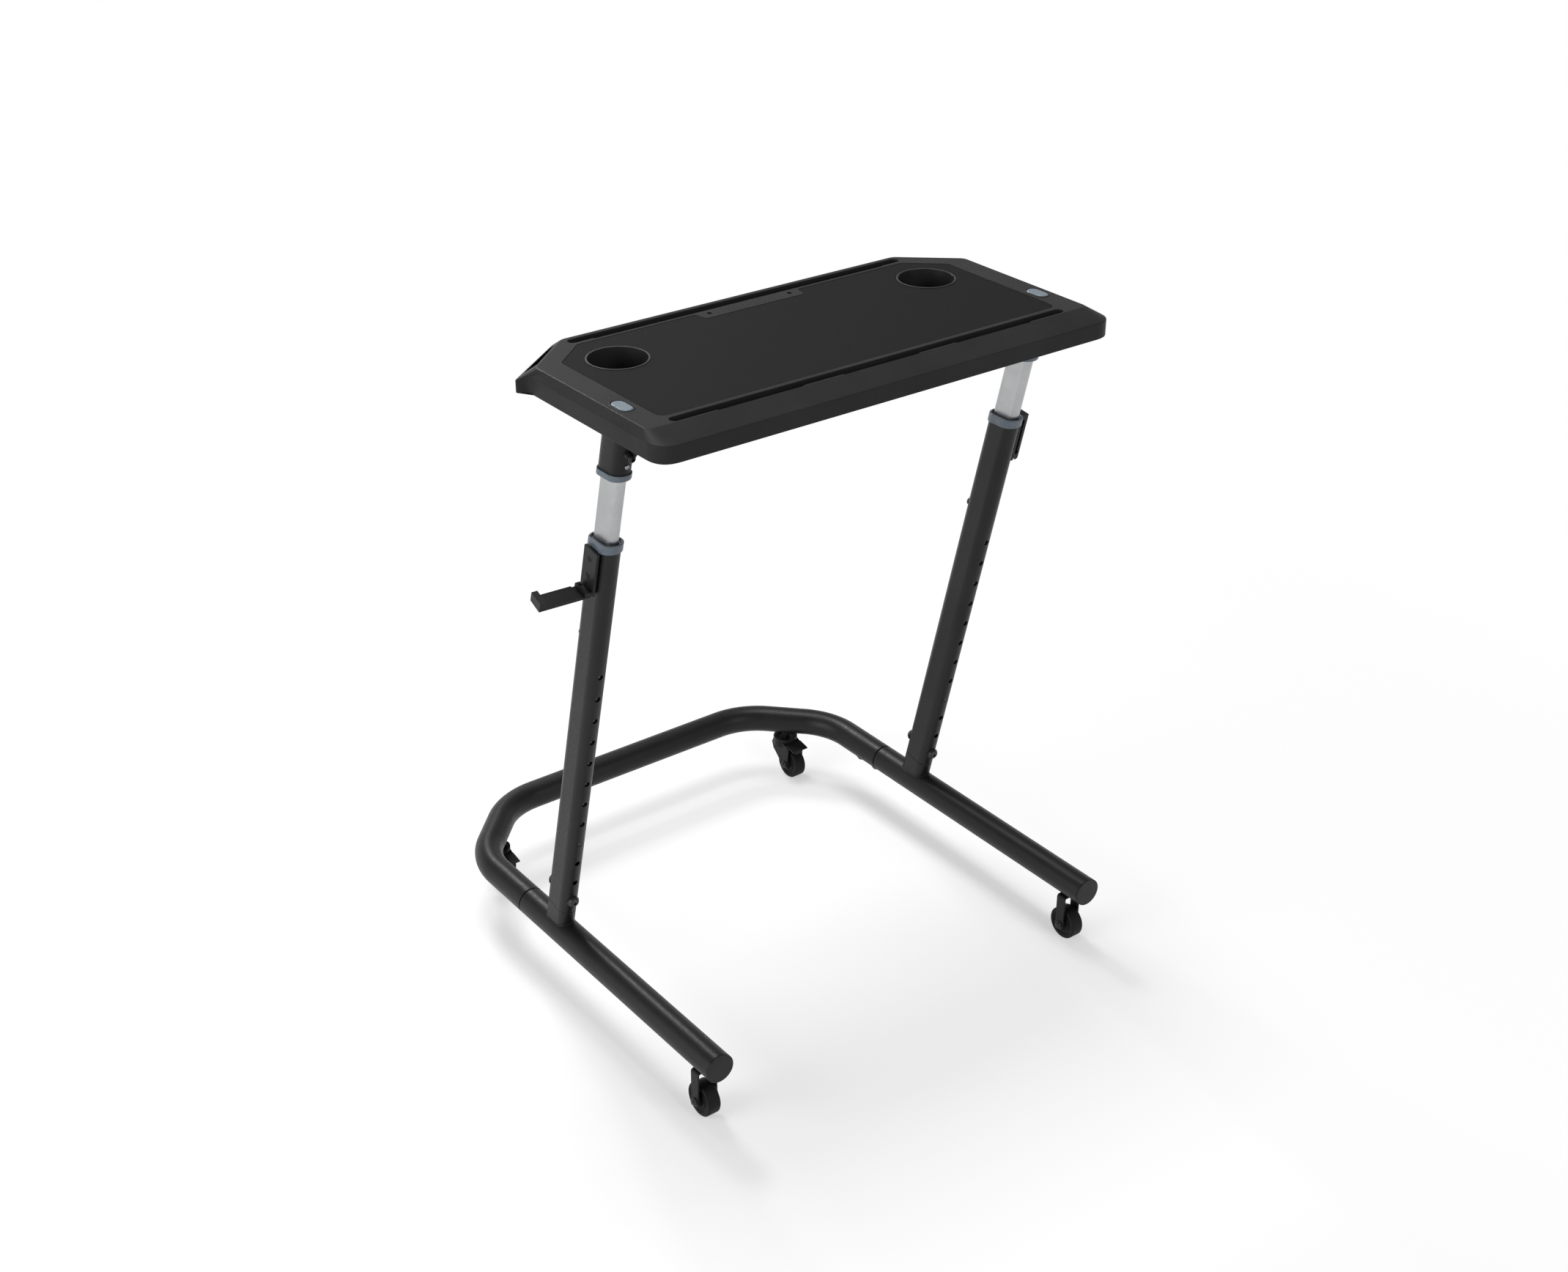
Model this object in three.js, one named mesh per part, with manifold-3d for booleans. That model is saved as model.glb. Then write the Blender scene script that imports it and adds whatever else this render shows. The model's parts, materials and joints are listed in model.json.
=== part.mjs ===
import * as THREE from 'three';
import { mergeVertices } from 'three/addons/utils/BufferGeometryUtils.js';
import Module from 'manifold-3d';

const wasm = await Module();
wasm.setup();

// A height-adjustable desk on casters, for riding a bicycle on a trainer.
// Millimetres, +Z up. The open side with the fixed casters is at -Y.
// A U-shaped tube base carries two leaning telescopic legs, and they carry the tabletop.

// Clearances
const touch_gap = 0.3;
const slide_gap = 0.3;
const cut_overrun = 1;

// Base tubes: straight side rails with a bent loop behind them
const rail_radius = 22.2;
const rail_wall = 1.8;
const rail_x = 348.8;
const rail_reach = 413.6;
const fork_inset = 37.5;
const seam_y = 79.8;
const seam_gap = 1;
const spigot_length = 78;
const spigot_wall = 1.8;
const spigot_root = 8;
const loop_corner_y = 225.5;
const loop_corner_run = 112.4;
const loop_corner_rise = 114.1;
const loop_bend_radius = 114.6;
const cap_thickness = 2.5;
const cap_plug = 12;
const cap_edge = 1;

// Bolts that pin the loop onto the rail spigots, from below
const rail_bolt_radius = 3.9;
const rail_bolt_head = 6.5;
const rail_bolt_head_height = 4;
const rail_bolt_reach = 9;
const rail_bolt_inset = 18;
const rail_bolt_spacing = 40;

// Legs: lengths along the leg are measured from the rail's centre line
const leg_lean_degrees = 13.84;
const leg_half_width = 14.6;
const leg_half_depth = 25.5;
const leg_wall = 2;
const stub_top = 53;
const stub_spigot_length = 90;
const stub_spigot_wall = 2;
const leg_top = 733.5;
const first_hole = 117;
const hole_pitch = 40;
const hole_count = 11;
const lock_hole = 2;
const lock_hole_radius = 4.3;
const lock_to_tabletop = 747.1;

// Leg fasteners
const leg_bolt_station = 78;
const leg_bolt_radius = 4.2;
const leg_bolt_head = 8.4;
const leg_bolt_head_height = 4.6;
const washer_radius = 9.4;
const washer_thickness = 1.4;
const guide_screw_drop = 172.5;
const guide_screw_radius = 2.8;
const guide_screw_head = 6.4;
const guide_screw_head_height = 5.4;

// Inner legs, their shoes and the collars they slide through
const inner_half_width = 8.5;
const inner_half_depth = 22;
const inner_wall = 1.8;
const inner_top_drop = 42;
const shoe_below_pin = 20;
const shoe_above_pin = 14;
const shoe_plug = 26;
const shoe_cavity_half = 5;
const shoe_cavity_back = 9;
const shoe_cavity_drop = 6;
const lower_collar_half_width = 17.4;
const lower_collar_half_depth = 27.6;
const lower_collar_drop = 3.2;
const lower_collar_height = 13.6;
const lower_sleeve_length = 183.3;
const collar_lip_depth = 2;
const collar_lip_inset = 3.2;
const scoop_radius = 11;
const scoop_depth = 0.9;
const scoop_drop = 3;
const upper_collar_half_width = 16.9;
const upper_collar_half_depth = 27;
const upper_collar_drop = 100.5;
const upper_collar_height = 9.2;
const upper_sleeve_length = 30.4;

// Lock pins, release rods and buttons
const pin_radius = 3.9;
const pin_length = 12.6;
const pin_tip_clearance = 1.4;
const rod_radius = 3;
const rod_above_pin = 6;
const button_half_width = 9.7;
const button_half_length = 18.5;
const button_proud = 0.6;
const button_depth = 7;
const button_travel = 5;
const button_stem_radius = 6;
const button_stem_depth = 14;
const button_edge = 1.2;
const stem_shaft_half_width = 7.5;
const stem_shaft_half_length = 11;

// Brackets that clamp the inner legs under the tabletop
const bracket_plate_outer = 18.4;
const bracket_plate_inner = 58;
const bracket_plate_half_length = 60;
const bracket_plate_thickness = 5;
const bracket_plate_corner = 10;
const socket_end_rise = 1.8;
const gusset_height = 52;
const gusset_reach = 30;
const gusset_thickness = 4;
const gusset_forward = 15;
const top_bolt_rise = 39.6;
const top_bolt_radius = 3.9;
const top_bolt_head = 5.6;
const top_bolt_head_height = 5;
const top_bolt_reach = 13;
const top_boss_radius = 6.6;
const top_boss_height = 6;
const hex_socket_radius = 3;
const hex_socket_depth = 2.6;

// Tabletop, measured from the point where the leg axes meet its top face
const table_thickness = 32.7;
const table_overhang = 28.7;
const table_front = 124.8;
const table_rear = 254;
const bevel_drop = 8.8;
const bevel_side_run = 11.2;
const bevel_front_run = 42.8;
const bevel_rear_run = 10.5;
const chamfer_rise = 79.6;
const chamfer_run = 85.5;
const top_chamfer_shift_x = 6.5;
const top_chamfer_shift_y = 1.2;
const ear_flare = 16.5;
const ear_length = 11.6;
const ear_drop = 15.5;
const front_corner_reach = 31;
const top_corner_reach = 12;
const small_corner_reach = 7;
const skirt_wall = 9;
const core_ceiling = 7;
const core_front_margin = 13.4;
const core_rear_margin = 17.8;
const core_side_margin = 12.6;

// Grip groove along each chamfered rear corner
const groove_inner_gap = 2.5;
const groove_lip = 4;
const groove_depth = 19;
const groove_start_share = 0.14;
const groove_end_share = 0.84;

// Mat pocket in the tabletop, with the flat strip left standing at its rear edge
const pocket_depth = 2;
const mat_thickness = 1.4;
const mat_side_margin = 35.7;
const mat_front_margin = 24.6;
const mat_chamfer_shift_x = 6.8;
const mat_chamfer_shift_y = 5.9;
const mat_rear_margin = 29.7;
const mat_front_reach = 16;
const mat_rear_reach = 5;
const notch_bottom_half = 84.6;
const notch_top_half = 88.4;
const notch_depth = 21.5;
const notch_reach = 5;
const strip_hole_x = 68.8;
const strip_hole_inset = 6;
const strip_hole_radius = 3.6;
const strip_hole_depth = 6;

// Device slots along the front and rear edges, with wider stretches
const slot_depth = 13;
const slot_step = 2;
const front_slot_overrun = 3.1;
const front_slot_gap = 15.3;
const front_slot_half_width = 6.9;
const rear_slot_inset = 2;
const rear_slot_gap = 14.9;
const rear_slot_half_width = 6.9;
const slot_middle_half = 64;
const slot_wide_from = 126.5;
const slot_wide_to = 262;
const rear_slot_narrow_end = 35;

// Cup holders
const cup_side_margin = 67.5;
const cup_rear_margin = 29.5;
const cup_radius = 40.3;
const cup_wall = 1.4;
const cup_taper = 3;
const cup_depth = 75;
const cup_floor = 2.4;
const cup_flange_radius = 42.9;
const cup_ring_proud = 0.6;

// Panel that closes the underside
const panel_thickness = 3;
const panel_depth = 25;

// Fold-down hooks on the outer faces of the legs
const hook_half_width = 15;
const hook_plate_length = 69.3;
const hook_plate_drop = 6;
const hook_plate_top_fall = 2.5;
const hook_plate_thickness = 4;
const hook_pad_thickness = 3.4;
const hook_pad_half_width = 10.5;
const hook_pad_inset = 13.5;
const hook_pivot_stand_off = 12.4;
const hook_pivot_rise = 4;
const hook_tip_clearance = 2.2;
const hook_arm_rear = 11.5;
const hook_arm_thickness = 5;
const hook_arm_below = 4;
const hook_arm_rise_degrees = 2.5;
const hook_tip_thickness = 9;
const hook_tip_height = 13.4;
const hook_tip_slant = 3;
const hook_block_inner = 1.2;
const hook_block_outer = 6.3;
const hook_block_height = 3.7;
const hook_groove_end = 12.5;
const hook_groove_depth = 2.2;
const hook_lug_half_width = 6;
const hook_lug_radius = 4;
const hook_pin_radius = 1.6;
const hook_screw_radius = 4.4;
const hook_screw_depth = 0.9;
const hook_screw_low = 26;
const hook_screw_high = 53;

// Fixed front casters
const wheel_radius = 26;
const wheel_half_width = 10.6;
const wheel_edge = 4;
const hub_radius = 8.5;
const hub_half_width = 13.4;
const recess_radius = 18;
const recess_depth = 2.6;
const axle_radius = 3;
const axle_head_radius = 6.2;
const axle_head_thickness = 5;
const axle_nut_radius = 4.6;
const fork_plate = 2.5;
const fork_inner_half = 14;
const fork_half_length = 8.5;
const fork_stud_radius = 4;
const fork_stud_reach = 8;

// Braked swivel casters under the loop's diagonals
const caster_trail = 19.5;
const caster_housing_radius = 20.8;
const caster_wheel_clearance = 5.5;
const caster_floor_thickness = 9.5;
const caster_rim_height = 5;
const caster_stand_off = 7.9;
const caster_rim = 3;
const caster_stem_radius = 5;
const caster_stem_head = 8;
const caster_stem_head_height = 3;
const caster_stem_reach = 9;
const caster_nut_radius = 7.6;
const caster_fork_end_radius = 7.5;
const caster_fork_rear = 17;
const caster_fork_top_half = 12.6;
const lobe_start_degrees = 70;
const lobe_end_degrees = 195;
const fork_end_degrees = 335;
const caster_fork_waist = 13;
const caster_fork_waist_drop = 11.5;
const pedal_half_width = 15.6;
const pedal_front = 43.5;
const pedal_rear = 22.4;
const pedal_rear_rise = 7.5;
const pedal_front_rise = 3;
const pedal_thickness = 2.2;
const pedal_pivot_y = 25;
const pedal_pivot_rise = 1;
const pedal_barrel_radius = 2.6;
const pedal_pin_radius = 1.7;
const pedal_lobe_radius = 4.2;
const pedal_shoe_front = 39;
const pedal_shoe_rear = 32;
const pedal_shoe_half_width = 7;
const pedal_shoe_gap = 2.4;

// Mesh fineness, in steps
const round_steps = 14;
const oval_steps = 6;
const corner_steps = 4;
const small_round_steps = 10;
const wheel_steps = 20;
const cup_steps = 28;
const tube_sides = 20;
const bend_steps = 6;
const hex_sides = 6;

// Derived sizes
const lean = THREE.MathUtils.degToRad(leg_lean_degrees);
const wheel_axle_height = wheel_radius;
const caster_floor_bottom = wheel_radius * 2 + caster_wheel_clearance;
const caster_floor_top = caster_floor_bottom + caster_floor_thickness;
const caster_housing_top = caster_floor_top + caster_rim_height;
const caster_fork_waist_height = caster_floor_bottom - caster_fork_waist_drop;
const pedal_pivot_height = caster_floor_bottom + pedal_pivot_rise;
const pedal_rear_height = pedal_pivot_height + pedal_rear_rise;
const pedal_front_height = pedal_pivot_height + pedal_front_rise;
const rail_inner = rail_radius - rail_wall;
const rail_bottom = caster_housing_top + caster_stand_off;
const rail_height = rail_bottom + rail_radius;
const leg_bore_half_width = leg_half_width - leg_wall;
const leg_bore_half_depth = leg_half_depth - leg_wall;
const lock_station = first_hole + lock_hole * hole_pitch;
const guide_screw_station = leg_top - guide_screw_drop;
const lower_collar_station = leg_top - lower_collar_drop;
const hook_plate_top = leg_top - hook_plate_drop;
const hook_plate_bottom = hook_plate_top - hook_plate_length;
const hook_pad_top = hook_plate_top - hook_pad_inset;
const hook_pivot_station = hook_plate_bottom + hook_pivot_rise;
const hook_tip_start = hook_plate_length - hook_pivot_rise + hook_tip_clearance;
const hook_arm_length = hook_tip_start + hook_tip_thickness;
const hook_pivot_x = leg_half_width + touch_gap + hook_pivot_stand_off;
const loop_rear_half = rail_x - loop_corner_run;
const loop_rear_y = loop_corner_y + loop_corner_rise;
const front_wheel_y = rail_reach - fork_inset;
const tabletop_station = lock_station + lock_to_tabletop;
const tabletop_height = rail_height + tabletop_station * Math.cos(lean);
const tabletop_y = -tabletop_station * Math.sin(lean);
const upper_collar_station = tabletop_station - upper_collar_drop;
const upper_sleeve_top = upper_collar_station + upper_sleeve_length;
const socket_bottom = upper_collar_station + socket_end_rise;
const top_bolt_station = socket_bottom + top_bolt_rise;
const bracket_drop = panel_depth + panel_thickness + touch_gap;
const bracket_station = tabletop_station - bracket_drop / Math.cos(lean);
const inner_bottom = lock_station + shoe_above_pin + touch_gap;
const inner_top = tabletop_station - inner_top_drop;
const socket_bore_half_width = leg_half_width - leg_wall;
const socket_bore_half_depth = leg_half_depth - leg_wall;
const caster_x = (rail_x + loop_rear_half) / 2;
const caster_y = (loop_corner_y + loop_rear_y) / 2;
const pocket_floor = -pocket_depth;
const table_half_width = rail_x + table_overhang;
const ear_root_y = table_rear - chamfer_rise;
const rear_corner_x = table_half_width - chamfer_run;
const ear_x = table_half_width + ear_flare;
const ear_y = ear_root_y + ear_length;
const top_half_width = table_half_width - bevel_side_run;
const top_front = table_front - bevel_front_run;
const top_rear = table_rear - bevel_rear_run;
const top_chamfer_x = rear_corner_x - top_chamfer_shift_x;
const top_chamfer_y = ear_root_y + top_chamfer_shift_y;
const mat_half_width = top_half_width - mat_side_margin;
const mat_front = top_front - mat_front_margin;
const mat_rear = top_rear - mat_rear_margin;
const mat_chamfer_x = top_chamfer_x - mat_chamfer_shift_x;
const mat_chamfer_y = top_chamfer_y - mat_chamfer_shift_y;
const notch_y = mat_rear - notch_depth;
const strip_hole_y = mat_rear - strip_hole_inset;
const core_half_width = mat_half_width - core_side_margin;
const core_front = mat_front - core_front_margin;
const core_rear = mat_rear - core_rear_margin;
const cup_x = mat_half_width - cup_side_margin;
const cup_y = mat_chamfer_y - cup_rear_margin;
const front_slot_half = mat_half_width - front_slot_overrun;
const front_slot_y = mat_front + front_slot_gap;
const rear_slot_half = top_chamfer_x - rear_slot_inset;
const rear_slot_y = top_rear - rear_slot_gap;
const rear_slot_wide_half = rear_slot_half - rear_slot_narrow_end;
const axle_half = fork_inner_half + fork_plate;
const lobe_start = THREE.MathUtils.degToRad(lobe_start_degrees);
const lobe_end = THREE.MathUtils.degToRad(lobe_end_degrees);
const fork_end_turn = THREE.MathUtils.degToRad(fork_end_degrees);

// Materials
function finish(name, color, roughness, metalness) {
  return new THREE.MeshStandardMaterial({ name, color, roughness, metalness });
}
const moulded_top = finish('moulded_top', 0x474747, 0.55, 0);
const mat_rubber = finish('mat_rubber', 0x2b2b2b, 0.85, 0);
const black_steel = finish('black_steel', 0x2c2c2c, 0.5, 0.2);
const dark_plastic = finish('dark_plastic', 0x232323, 0.6, 0);
const blue_grey = finish('blue_grey', 0x64707b, 0.5, 0);
const button_grey = finish('button_grey', 0x8694a0, 0.45, 0);
const silver_tube = finish('silver_tube', 0xc3c6c6, 0.35, 0.8);
const black_bolt = finish('black_bolt', 0x1c1c1c, 0.4, 0.6);
const plain_steel = finish('plain_steel', 0x9a9c9e, 0.35, 0.9);
const tyre_rubber = finish('tyre_rubber', 0x1e1e1e, 0.7, 0);

// Solids from geometry and back
function solid_of(geometry) {
  const bare = geometry.index ? geometry.toNonIndexed() : geometry.clone();
  bare.deleteAttribute('normal');
  bare.deleteAttribute('uv');
  const merged = mergeVertices(bare);
  return new wasm.Manifold(new wasm.Mesh({
    numProp: 3,
    vertProperties: Float32Array.from(merged.attributes.position.array),
    triVerts: Uint32Array.from(merged.index.array),
  }));
}

function geometry_of(solid) {
  const mesh = solid.getMesh();
  const geometry = new THREE.BufferGeometry();
  geometry.setAttribute('position', new THREE.Float32BufferAttribute(mesh.vertProperties, 3));
  geometry.setIndex(new THREE.Uint32BufferAttribute(mesh.triVerts, 1));
  geometry.computeVertexNormals();
  return geometry;
}

function joined(first, ...others) {
  return others.reduce((whole, other) => whole.add(solid_of(other)), solid_of(first));
}

function cut(solid, ...tools) {
  return tools.reduce((whole, tool) => whole.subtract(solid_of(tool)), solid);
}

// Outlines as lists of points, counter-clockwise
function circle_points(radius, steps) {
  return Array.from({ length: steps }, (unused, index) => {
    const angle = (index / steps) * 2 * Math.PI;
    return new THREE.Vector2(radius * Math.cos(angle), radius * Math.sin(angle));
  });
}

// An oval with flat sides at plus and minus x and a full round at each end
function oval_points(half_width, half_depth) {
  const straight = half_depth - half_width;
  const points = [];
  for (const end of [1, -1]) {
    for (let step = 0; step <= oval_steps; step += 1) {
      const angle = (step / oval_steps) * Math.PI;
      const x = half_width * Math.cos(angle);
      const y = straight + half_width * Math.sin(angle);
      points.push(new THREE.Vector2(end * x, end * y));
    }
  }
  return points;
}

// A corner list turned into an outline: each corner is {x, y, z, reach}, and z may be left out.
// The reach is how far before and after the corner its bend starts and ends.
function rounded_points(corners) {
  const points = [];
  corners.forEach((corner, index) => {
    const before = corners[(index + corners.length - 1) % corners.length];
    const after = corners[(index + 1) % corners.length];
    const middle = new THREE.Vector3(corner.x, corner.y, corner.z ?? 0);
    const to_before = new THREE.Vector3(before.x, before.y, before.z ?? 0).sub(middle).normalize();
    const to_after = new THREE.Vector3(after.x, after.y, after.z ?? 0).sub(middle).normalize();
    const bend_start = middle.clone().addScaledVector(to_before, corner.reach);
    const bend_end = middle.clone().addScaledVector(to_after, corner.reach);
    points.push(...new THREE.QuadraticBezierCurve3(bend_start, middle, bend_end).getPoints(corner_steps));
  });
  return points;
}

function flat_points(points) {
  return points.map((point) => new THREE.Vector2(point.x, point.y));
}

// A prism along z, with optional holes right through it
function prism(points, from, to, holes = []) {
  const shape = new THREE.Shape(points);
  holes.forEach((hole) => shape.holes.push(new THREE.Path(hole)));
  const geometry = new THREE.ExtrudeGeometry(shape, { depth: to - from, bevelEnabled: false });
  return geometry.translate(0, 0, from);
}

function round_bar(radius, from, to, steps = small_round_steps) {
  return prism(circle_points(radius, steps), from, to);
}

// The same prism or bar turned so that it runs along y or x
function along_y(geometry) {
  return geometry.rotateX(-Math.PI / 2);
}

function along_x(geometry) {
  return geometry.rotateY(Math.PI / 2);
}

function block(low_x, high_x, low_y, high_y, low_z, high_z) {
  const geometry = new THREE.BoxGeometry(high_x - low_x, high_y - low_y, high_z - low_z);
  return geometry.translate((low_x + high_x) / 2, (low_y + high_y) / 2, (low_z + high_z) / 2);
}

// A closed body through a stack of outlines that have the same number of points
function loft(rings) {
  const count = rings[0].length;
  const middles = [rings[0], rings[rings.length - 1]].map((ring) => (
    ring.reduce((sum, point) => sum.add(point), new THREE.Vector3()).divideScalar(count)));
  const positions = [...rings.flat(), ...middles].flatMap((point) => [point.x, point.y, point.z]);
  const last = (rings.length - 1) * count;
  const bottom_index = rings.length * count;
  const top_index = bottom_index + 1;
  const faces = [];
  for (let index = 0; index < count; index += 1) {
    const next = (index + 1) % count;
    faces.push(bottom_index, next, index);
    faces.push(top_index, last + index, last + next);
    for (let low = 0; low < last; low += count) {
      const high = low + count;
      faces.push(low + index, low + next, high + next);
      faces.push(low + index, high + next, high + index);
    }
  }
  const geometry = new THREE.BufferGeometry();
  geometry.setAttribute('position', new THREE.Float32BufferAttribute(positions, 3));
  geometry.setIndex(faces);
  return geometry;
}

// A solid of revolution about z, from a profile of [radius, height] that starts and ends on the axis
function turned(profile, steps) {
  const points = profile.map(([radius, height]) => new THREE.Vector2(radius, height));
  return new THREE.LatheGeometry(points, steps).rotateX(Math.PI / 2);
}

// Scene graph helpers
const desk = new THREE.Group();

function place(parent, name, geometry, material) {
  const mesh = new THREE.Mesh(geometry, material);
  mesh.name = name;
  parent.add(mesh);
  return mesh;
}

function frame_at(x, y, z) {
  const group = new THREE.Group();
  group.position.set(x, y, z);
  desk.add(group);
  return group;
}

const sides = [{ name: 'left', sign: -1 }, { name: 'right', sign: 1 }];

// A corner list mirrored across the desk's middle, from the +x half given front to rear
function mirrored(half) {
  const other = half.map((corner) => ({ ...corner, x: -corner.x })).reverse();
  return [...half, ...other];
}

// Base: side rails, the rear loop, end caps and the bolts between them
function side_rail() {
  const spigot_outer = rail_inner - slide_gap;
  const spigot_inner = spigot_outer - spigot_wall;
  const outline = [
    [rail_inner, -rail_reach],
    [rail_radius, -rail_reach],
    [rail_radius, seam_y],
    [spigot_outer, seam_y],
    [spigot_outer, seam_y + spigot_length],
    [spigot_inner, seam_y + spigot_length],
    [spigot_inner, seam_y - spigot_root],
    [rail_inner, seam_y - spigot_root],
    [rail_inner, -rail_reach],
  ];
  const tube = turned(outline, tube_sides).rotateX(-Math.PI / 2);
  const stub_points = oval_points(leg_half_width, leg_half_depth);
  const spigot_half_width = leg_bore_half_width - slide_gap;
  const spigot_half_depth = leg_bore_half_depth - slide_gap;
  const spigot_bore = oval_points(spigot_half_width - stub_spigot_wall, spigot_half_depth - stub_spigot_wall);
  const stub = prism(stub_points, 0, stub_top).rotateX(lean);
  const spigot = prism(oval_points(spigot_half_width, spigot_half_depth), 0, stub_spigot_length).rotateX(lean);
  const hollow = prism(spigot_bore, rail_radius, stub_spigot_length + cut_overrun).rotateX(lean);
  const bolt_hole = along_y(round_bar(leg_bolt_radius + touch_gap, -leg_half_depth, leg_half_depth))
    .translate(0, 0, leg_bolt_station).rotateX(lean);
  const bore = along_y(round_bar(rail_inner, -rail_reach, seam_y - spigot_root, tube_sides));
  const fork_hole = round_bar(fork_stud_radius + touch_gap, -rail_radius - cut_overrun, 0)
    .translate(0, -front_wheel_y, 0);
  const bolt_holes = rail_bolt_places().map((y) => (
    round_bar(rail_bolt_radius + touch_gap, -rail_radius - cut_overrun, 0).translate(0, y, 0)));
  const solid = cut(joined(stub, spigot), hollow, bore).add(solid_of(tube));
  return geometry_of(cut(solid, bolt_hole, fork_hole, ...bolt_holes));
}

function rail_bolt_places() {
  const first = seam_y + rail_bolt_inset;
  return [first, first + rail_bolt_spacing];
}

// Where a level path runs through its corners, with every inner corner bent to one radius.
// Each stop is a point and the heading there, and only the bends have more stops than two.
function bent_path(corners, radius) {
  const stops = [];
  const add_stop = (point, heading) => stops.push({ point, heading });
  const heading_to = (index) => corners[index].clone().sub(corners[index - 1]).normalize();
  add_stop(corners[0], heading_to(1));
  for (let index = 1; index + 1 < corners.length; index += 1) {
    const heading = heading_to(index);
    const next_heading = heading_to(index + 1);
    const sweep = Math.atan2(heading.cross(next_heading), heading.dot(next_heading));
    const reach = radius * Math.tan(Math.abs(sweep) / 2);
    const bend_start = corners[index].clone().addScaledVector(heading, -reach);
    const inward = new THREE.Vector2(-heading.y, heading.x).multiplyScalar(Math.sign(sweep));
    const middle = bend_start.clone().addScaledVector(inward, radius);
    for (let step = 0; step <= bend_steps; step += 1) {
      const turned_by = (sweep * step) / bend_steps;
      add_stop(bend_start.clone().rotateAround(middle, turned_by), turned_vector(heading, turned_by));
    }
  }
  add_stop(corners[corners.length - 1], heading_to(corners.length - 1));
  return stops;
}

function turned_vector(vector, angle) {
  return vector.clone().rotateAround(new THREE.Vector2(), angle);
}

function bar_along(stops, radius, sides_round) {
  const rings = stops.map(({ point, heading }) => (
    circle_points(radius, sides_round).map((spot) => (
      new THREE.Vector3(point.x - heading.y * spot.x, point.y + heading.x * spot.x, spot.y)))));
  return loft(rings);
}

function rear_loop() {
  const corners = [
    new THREE.Vector2(rail_x, seam_y + seam_gap),
    new THREE.Vector2(rail_x, loop_corner_y),
    new THREE.Vector2(loop_rear_half, loop_rear_y),
    new THREE.Vector2(-loop_rear_half, loop_rear_y),
    new THREE.Vector2(-rail_x, loop_corner_y),
    new THREE.Vector2(-rail_x, seam_y + seam_gap),
  ];
  const stops = bent_path(corners, loop_bend_radius);
  const tube = cut(solid_of(bar_along(stops, rail_radius, tube_sides)),
    bar_along(longer_at_ends(stops), rail_inner, tube_sides));
  const holes = sides.flatMap(({ sign }) => [
    ...rail_bolt_places().map((y) => (
      round_bar(rail_bolt_radius + touch_gap, -rail_radius - cut_overrun, 0).translate(sign * rail_x, y, 0))),
    round_bar(caster_stem_radius + touch_gap, -rail_radius - cut_overrun, 0)
      .translate(sign * caster_x, caster_y, 0),
  ]);
  return geometry_of(cut(tube, ...holes));
}

// The same stops with both ends moved outwards, so that a bore cut along them opens at both ends
function longer_at_ends(stops) {
  const moved = (stop, distance) => (
    { ...stop, point: stop.point.clone().addScaledVector(stop.heading, distance) });
  const last = stops.length - 1;
  return [moved(stops[0], -cut_overrun), ...stops.slice(1, last), moved(stops[last], cut_overrun)];
}

function rail_end_cap() {
  const outer = rail_reach + touch_gap + cap_thickness;
  const profile = [
    [0, rail_reach - cap_plug],
    [rail_inner - slide_gap, rail_reach - cap_plug],
    [rail_inner - slide_gap, rail_reach + touch_gap],
    [rail_radius, rail_reach + touch_gap],
    [rail_radius, outer - cap_edge],
    [rail_radius - cap_edge, outer],
    [0, outer],
  ];
  return turned(profile, tube_sides).rotateX(Math.PI / 2);
}

function headed_bolt(shank_radius, shank_from, shank_to, head_radius, head_height) {
  const dome = head_height / 2;
  const head_end = shank_to + head_height;
  return turned([
    [0, shank_from],
    [shank_radius, shank_from],
    [shank_radius, shank_to],
    [head_radius, shank_to],
    [head_radius, head_end - dome],
    [head_radius - dome, head_end],
    [0, head_end],
  ], round_steps);
}

function rail_bolt() {
  const reach = rail_radius - rail_bolt_reach;
  const seat = rail_radius + touch_gap;
  const bolt = headed_bolt(rail_bolt_radius, reach, seat, rail_bolt_head, rail_bolt_head_height);
  const end = seat + rail_bolt_head_height;
  const socket = prism(circle_points(hex_socket_radius, hex_sides), end - hex_socket_depth, end + cut_overrun);
  return geometry_of(cut(solid_of(bolt), socket)).rotateX(Math.PI);
}

// Legs, in a frame whose z runs up the leg from the rail's centre and whose -y faces the front
function outer_leg() {
  const outline = oval_points(leg_half_width, leg_half_depth);
  const bore = oval_points(leg_bore_half_width, leg_bore_half_depth);
  const tube = prism(outline, stub_top + touch_gap, leg_top + leg_half_depth, [bore]);
  const holes = Array.from({ length: hole_count }, (unused, index) => (
    along_y(round_bar(lock_hole_radius, 0, leg_half_depth + cut_overrun))
      .rotateX(Math.PI).translate(0, 0, first_hole + index * hole_pitch)));
  const bolt_hole = along_y(round_bar(leg_bolt_radius + touch_gap, -leg_half_depth - cut_overrun,
    leg_half_depth + cut_overrun)).translate(0, 0, leg_bolt_station);
  const screw_hole = along_y(round_bar(guide_screw_radius + touch_gap, 0, leg_half_depth + cut_overrun))
    .translate(0, 0, guide_screw_station);
  return geometry_of(cut(solid_of(tube), above_level(leg_top), ...holes, bolt_hole, screw_hole));
}

// In a leg's frame, everything above the level plane that crosses the leg's axis at a station
function above_level(station) {
  const reach = leg_half_depth * 2;
  return block(-reach, reach, -reach, reach, 0, reach * 2).rotateX(-lean).translate(0, 0, station);
}

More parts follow.
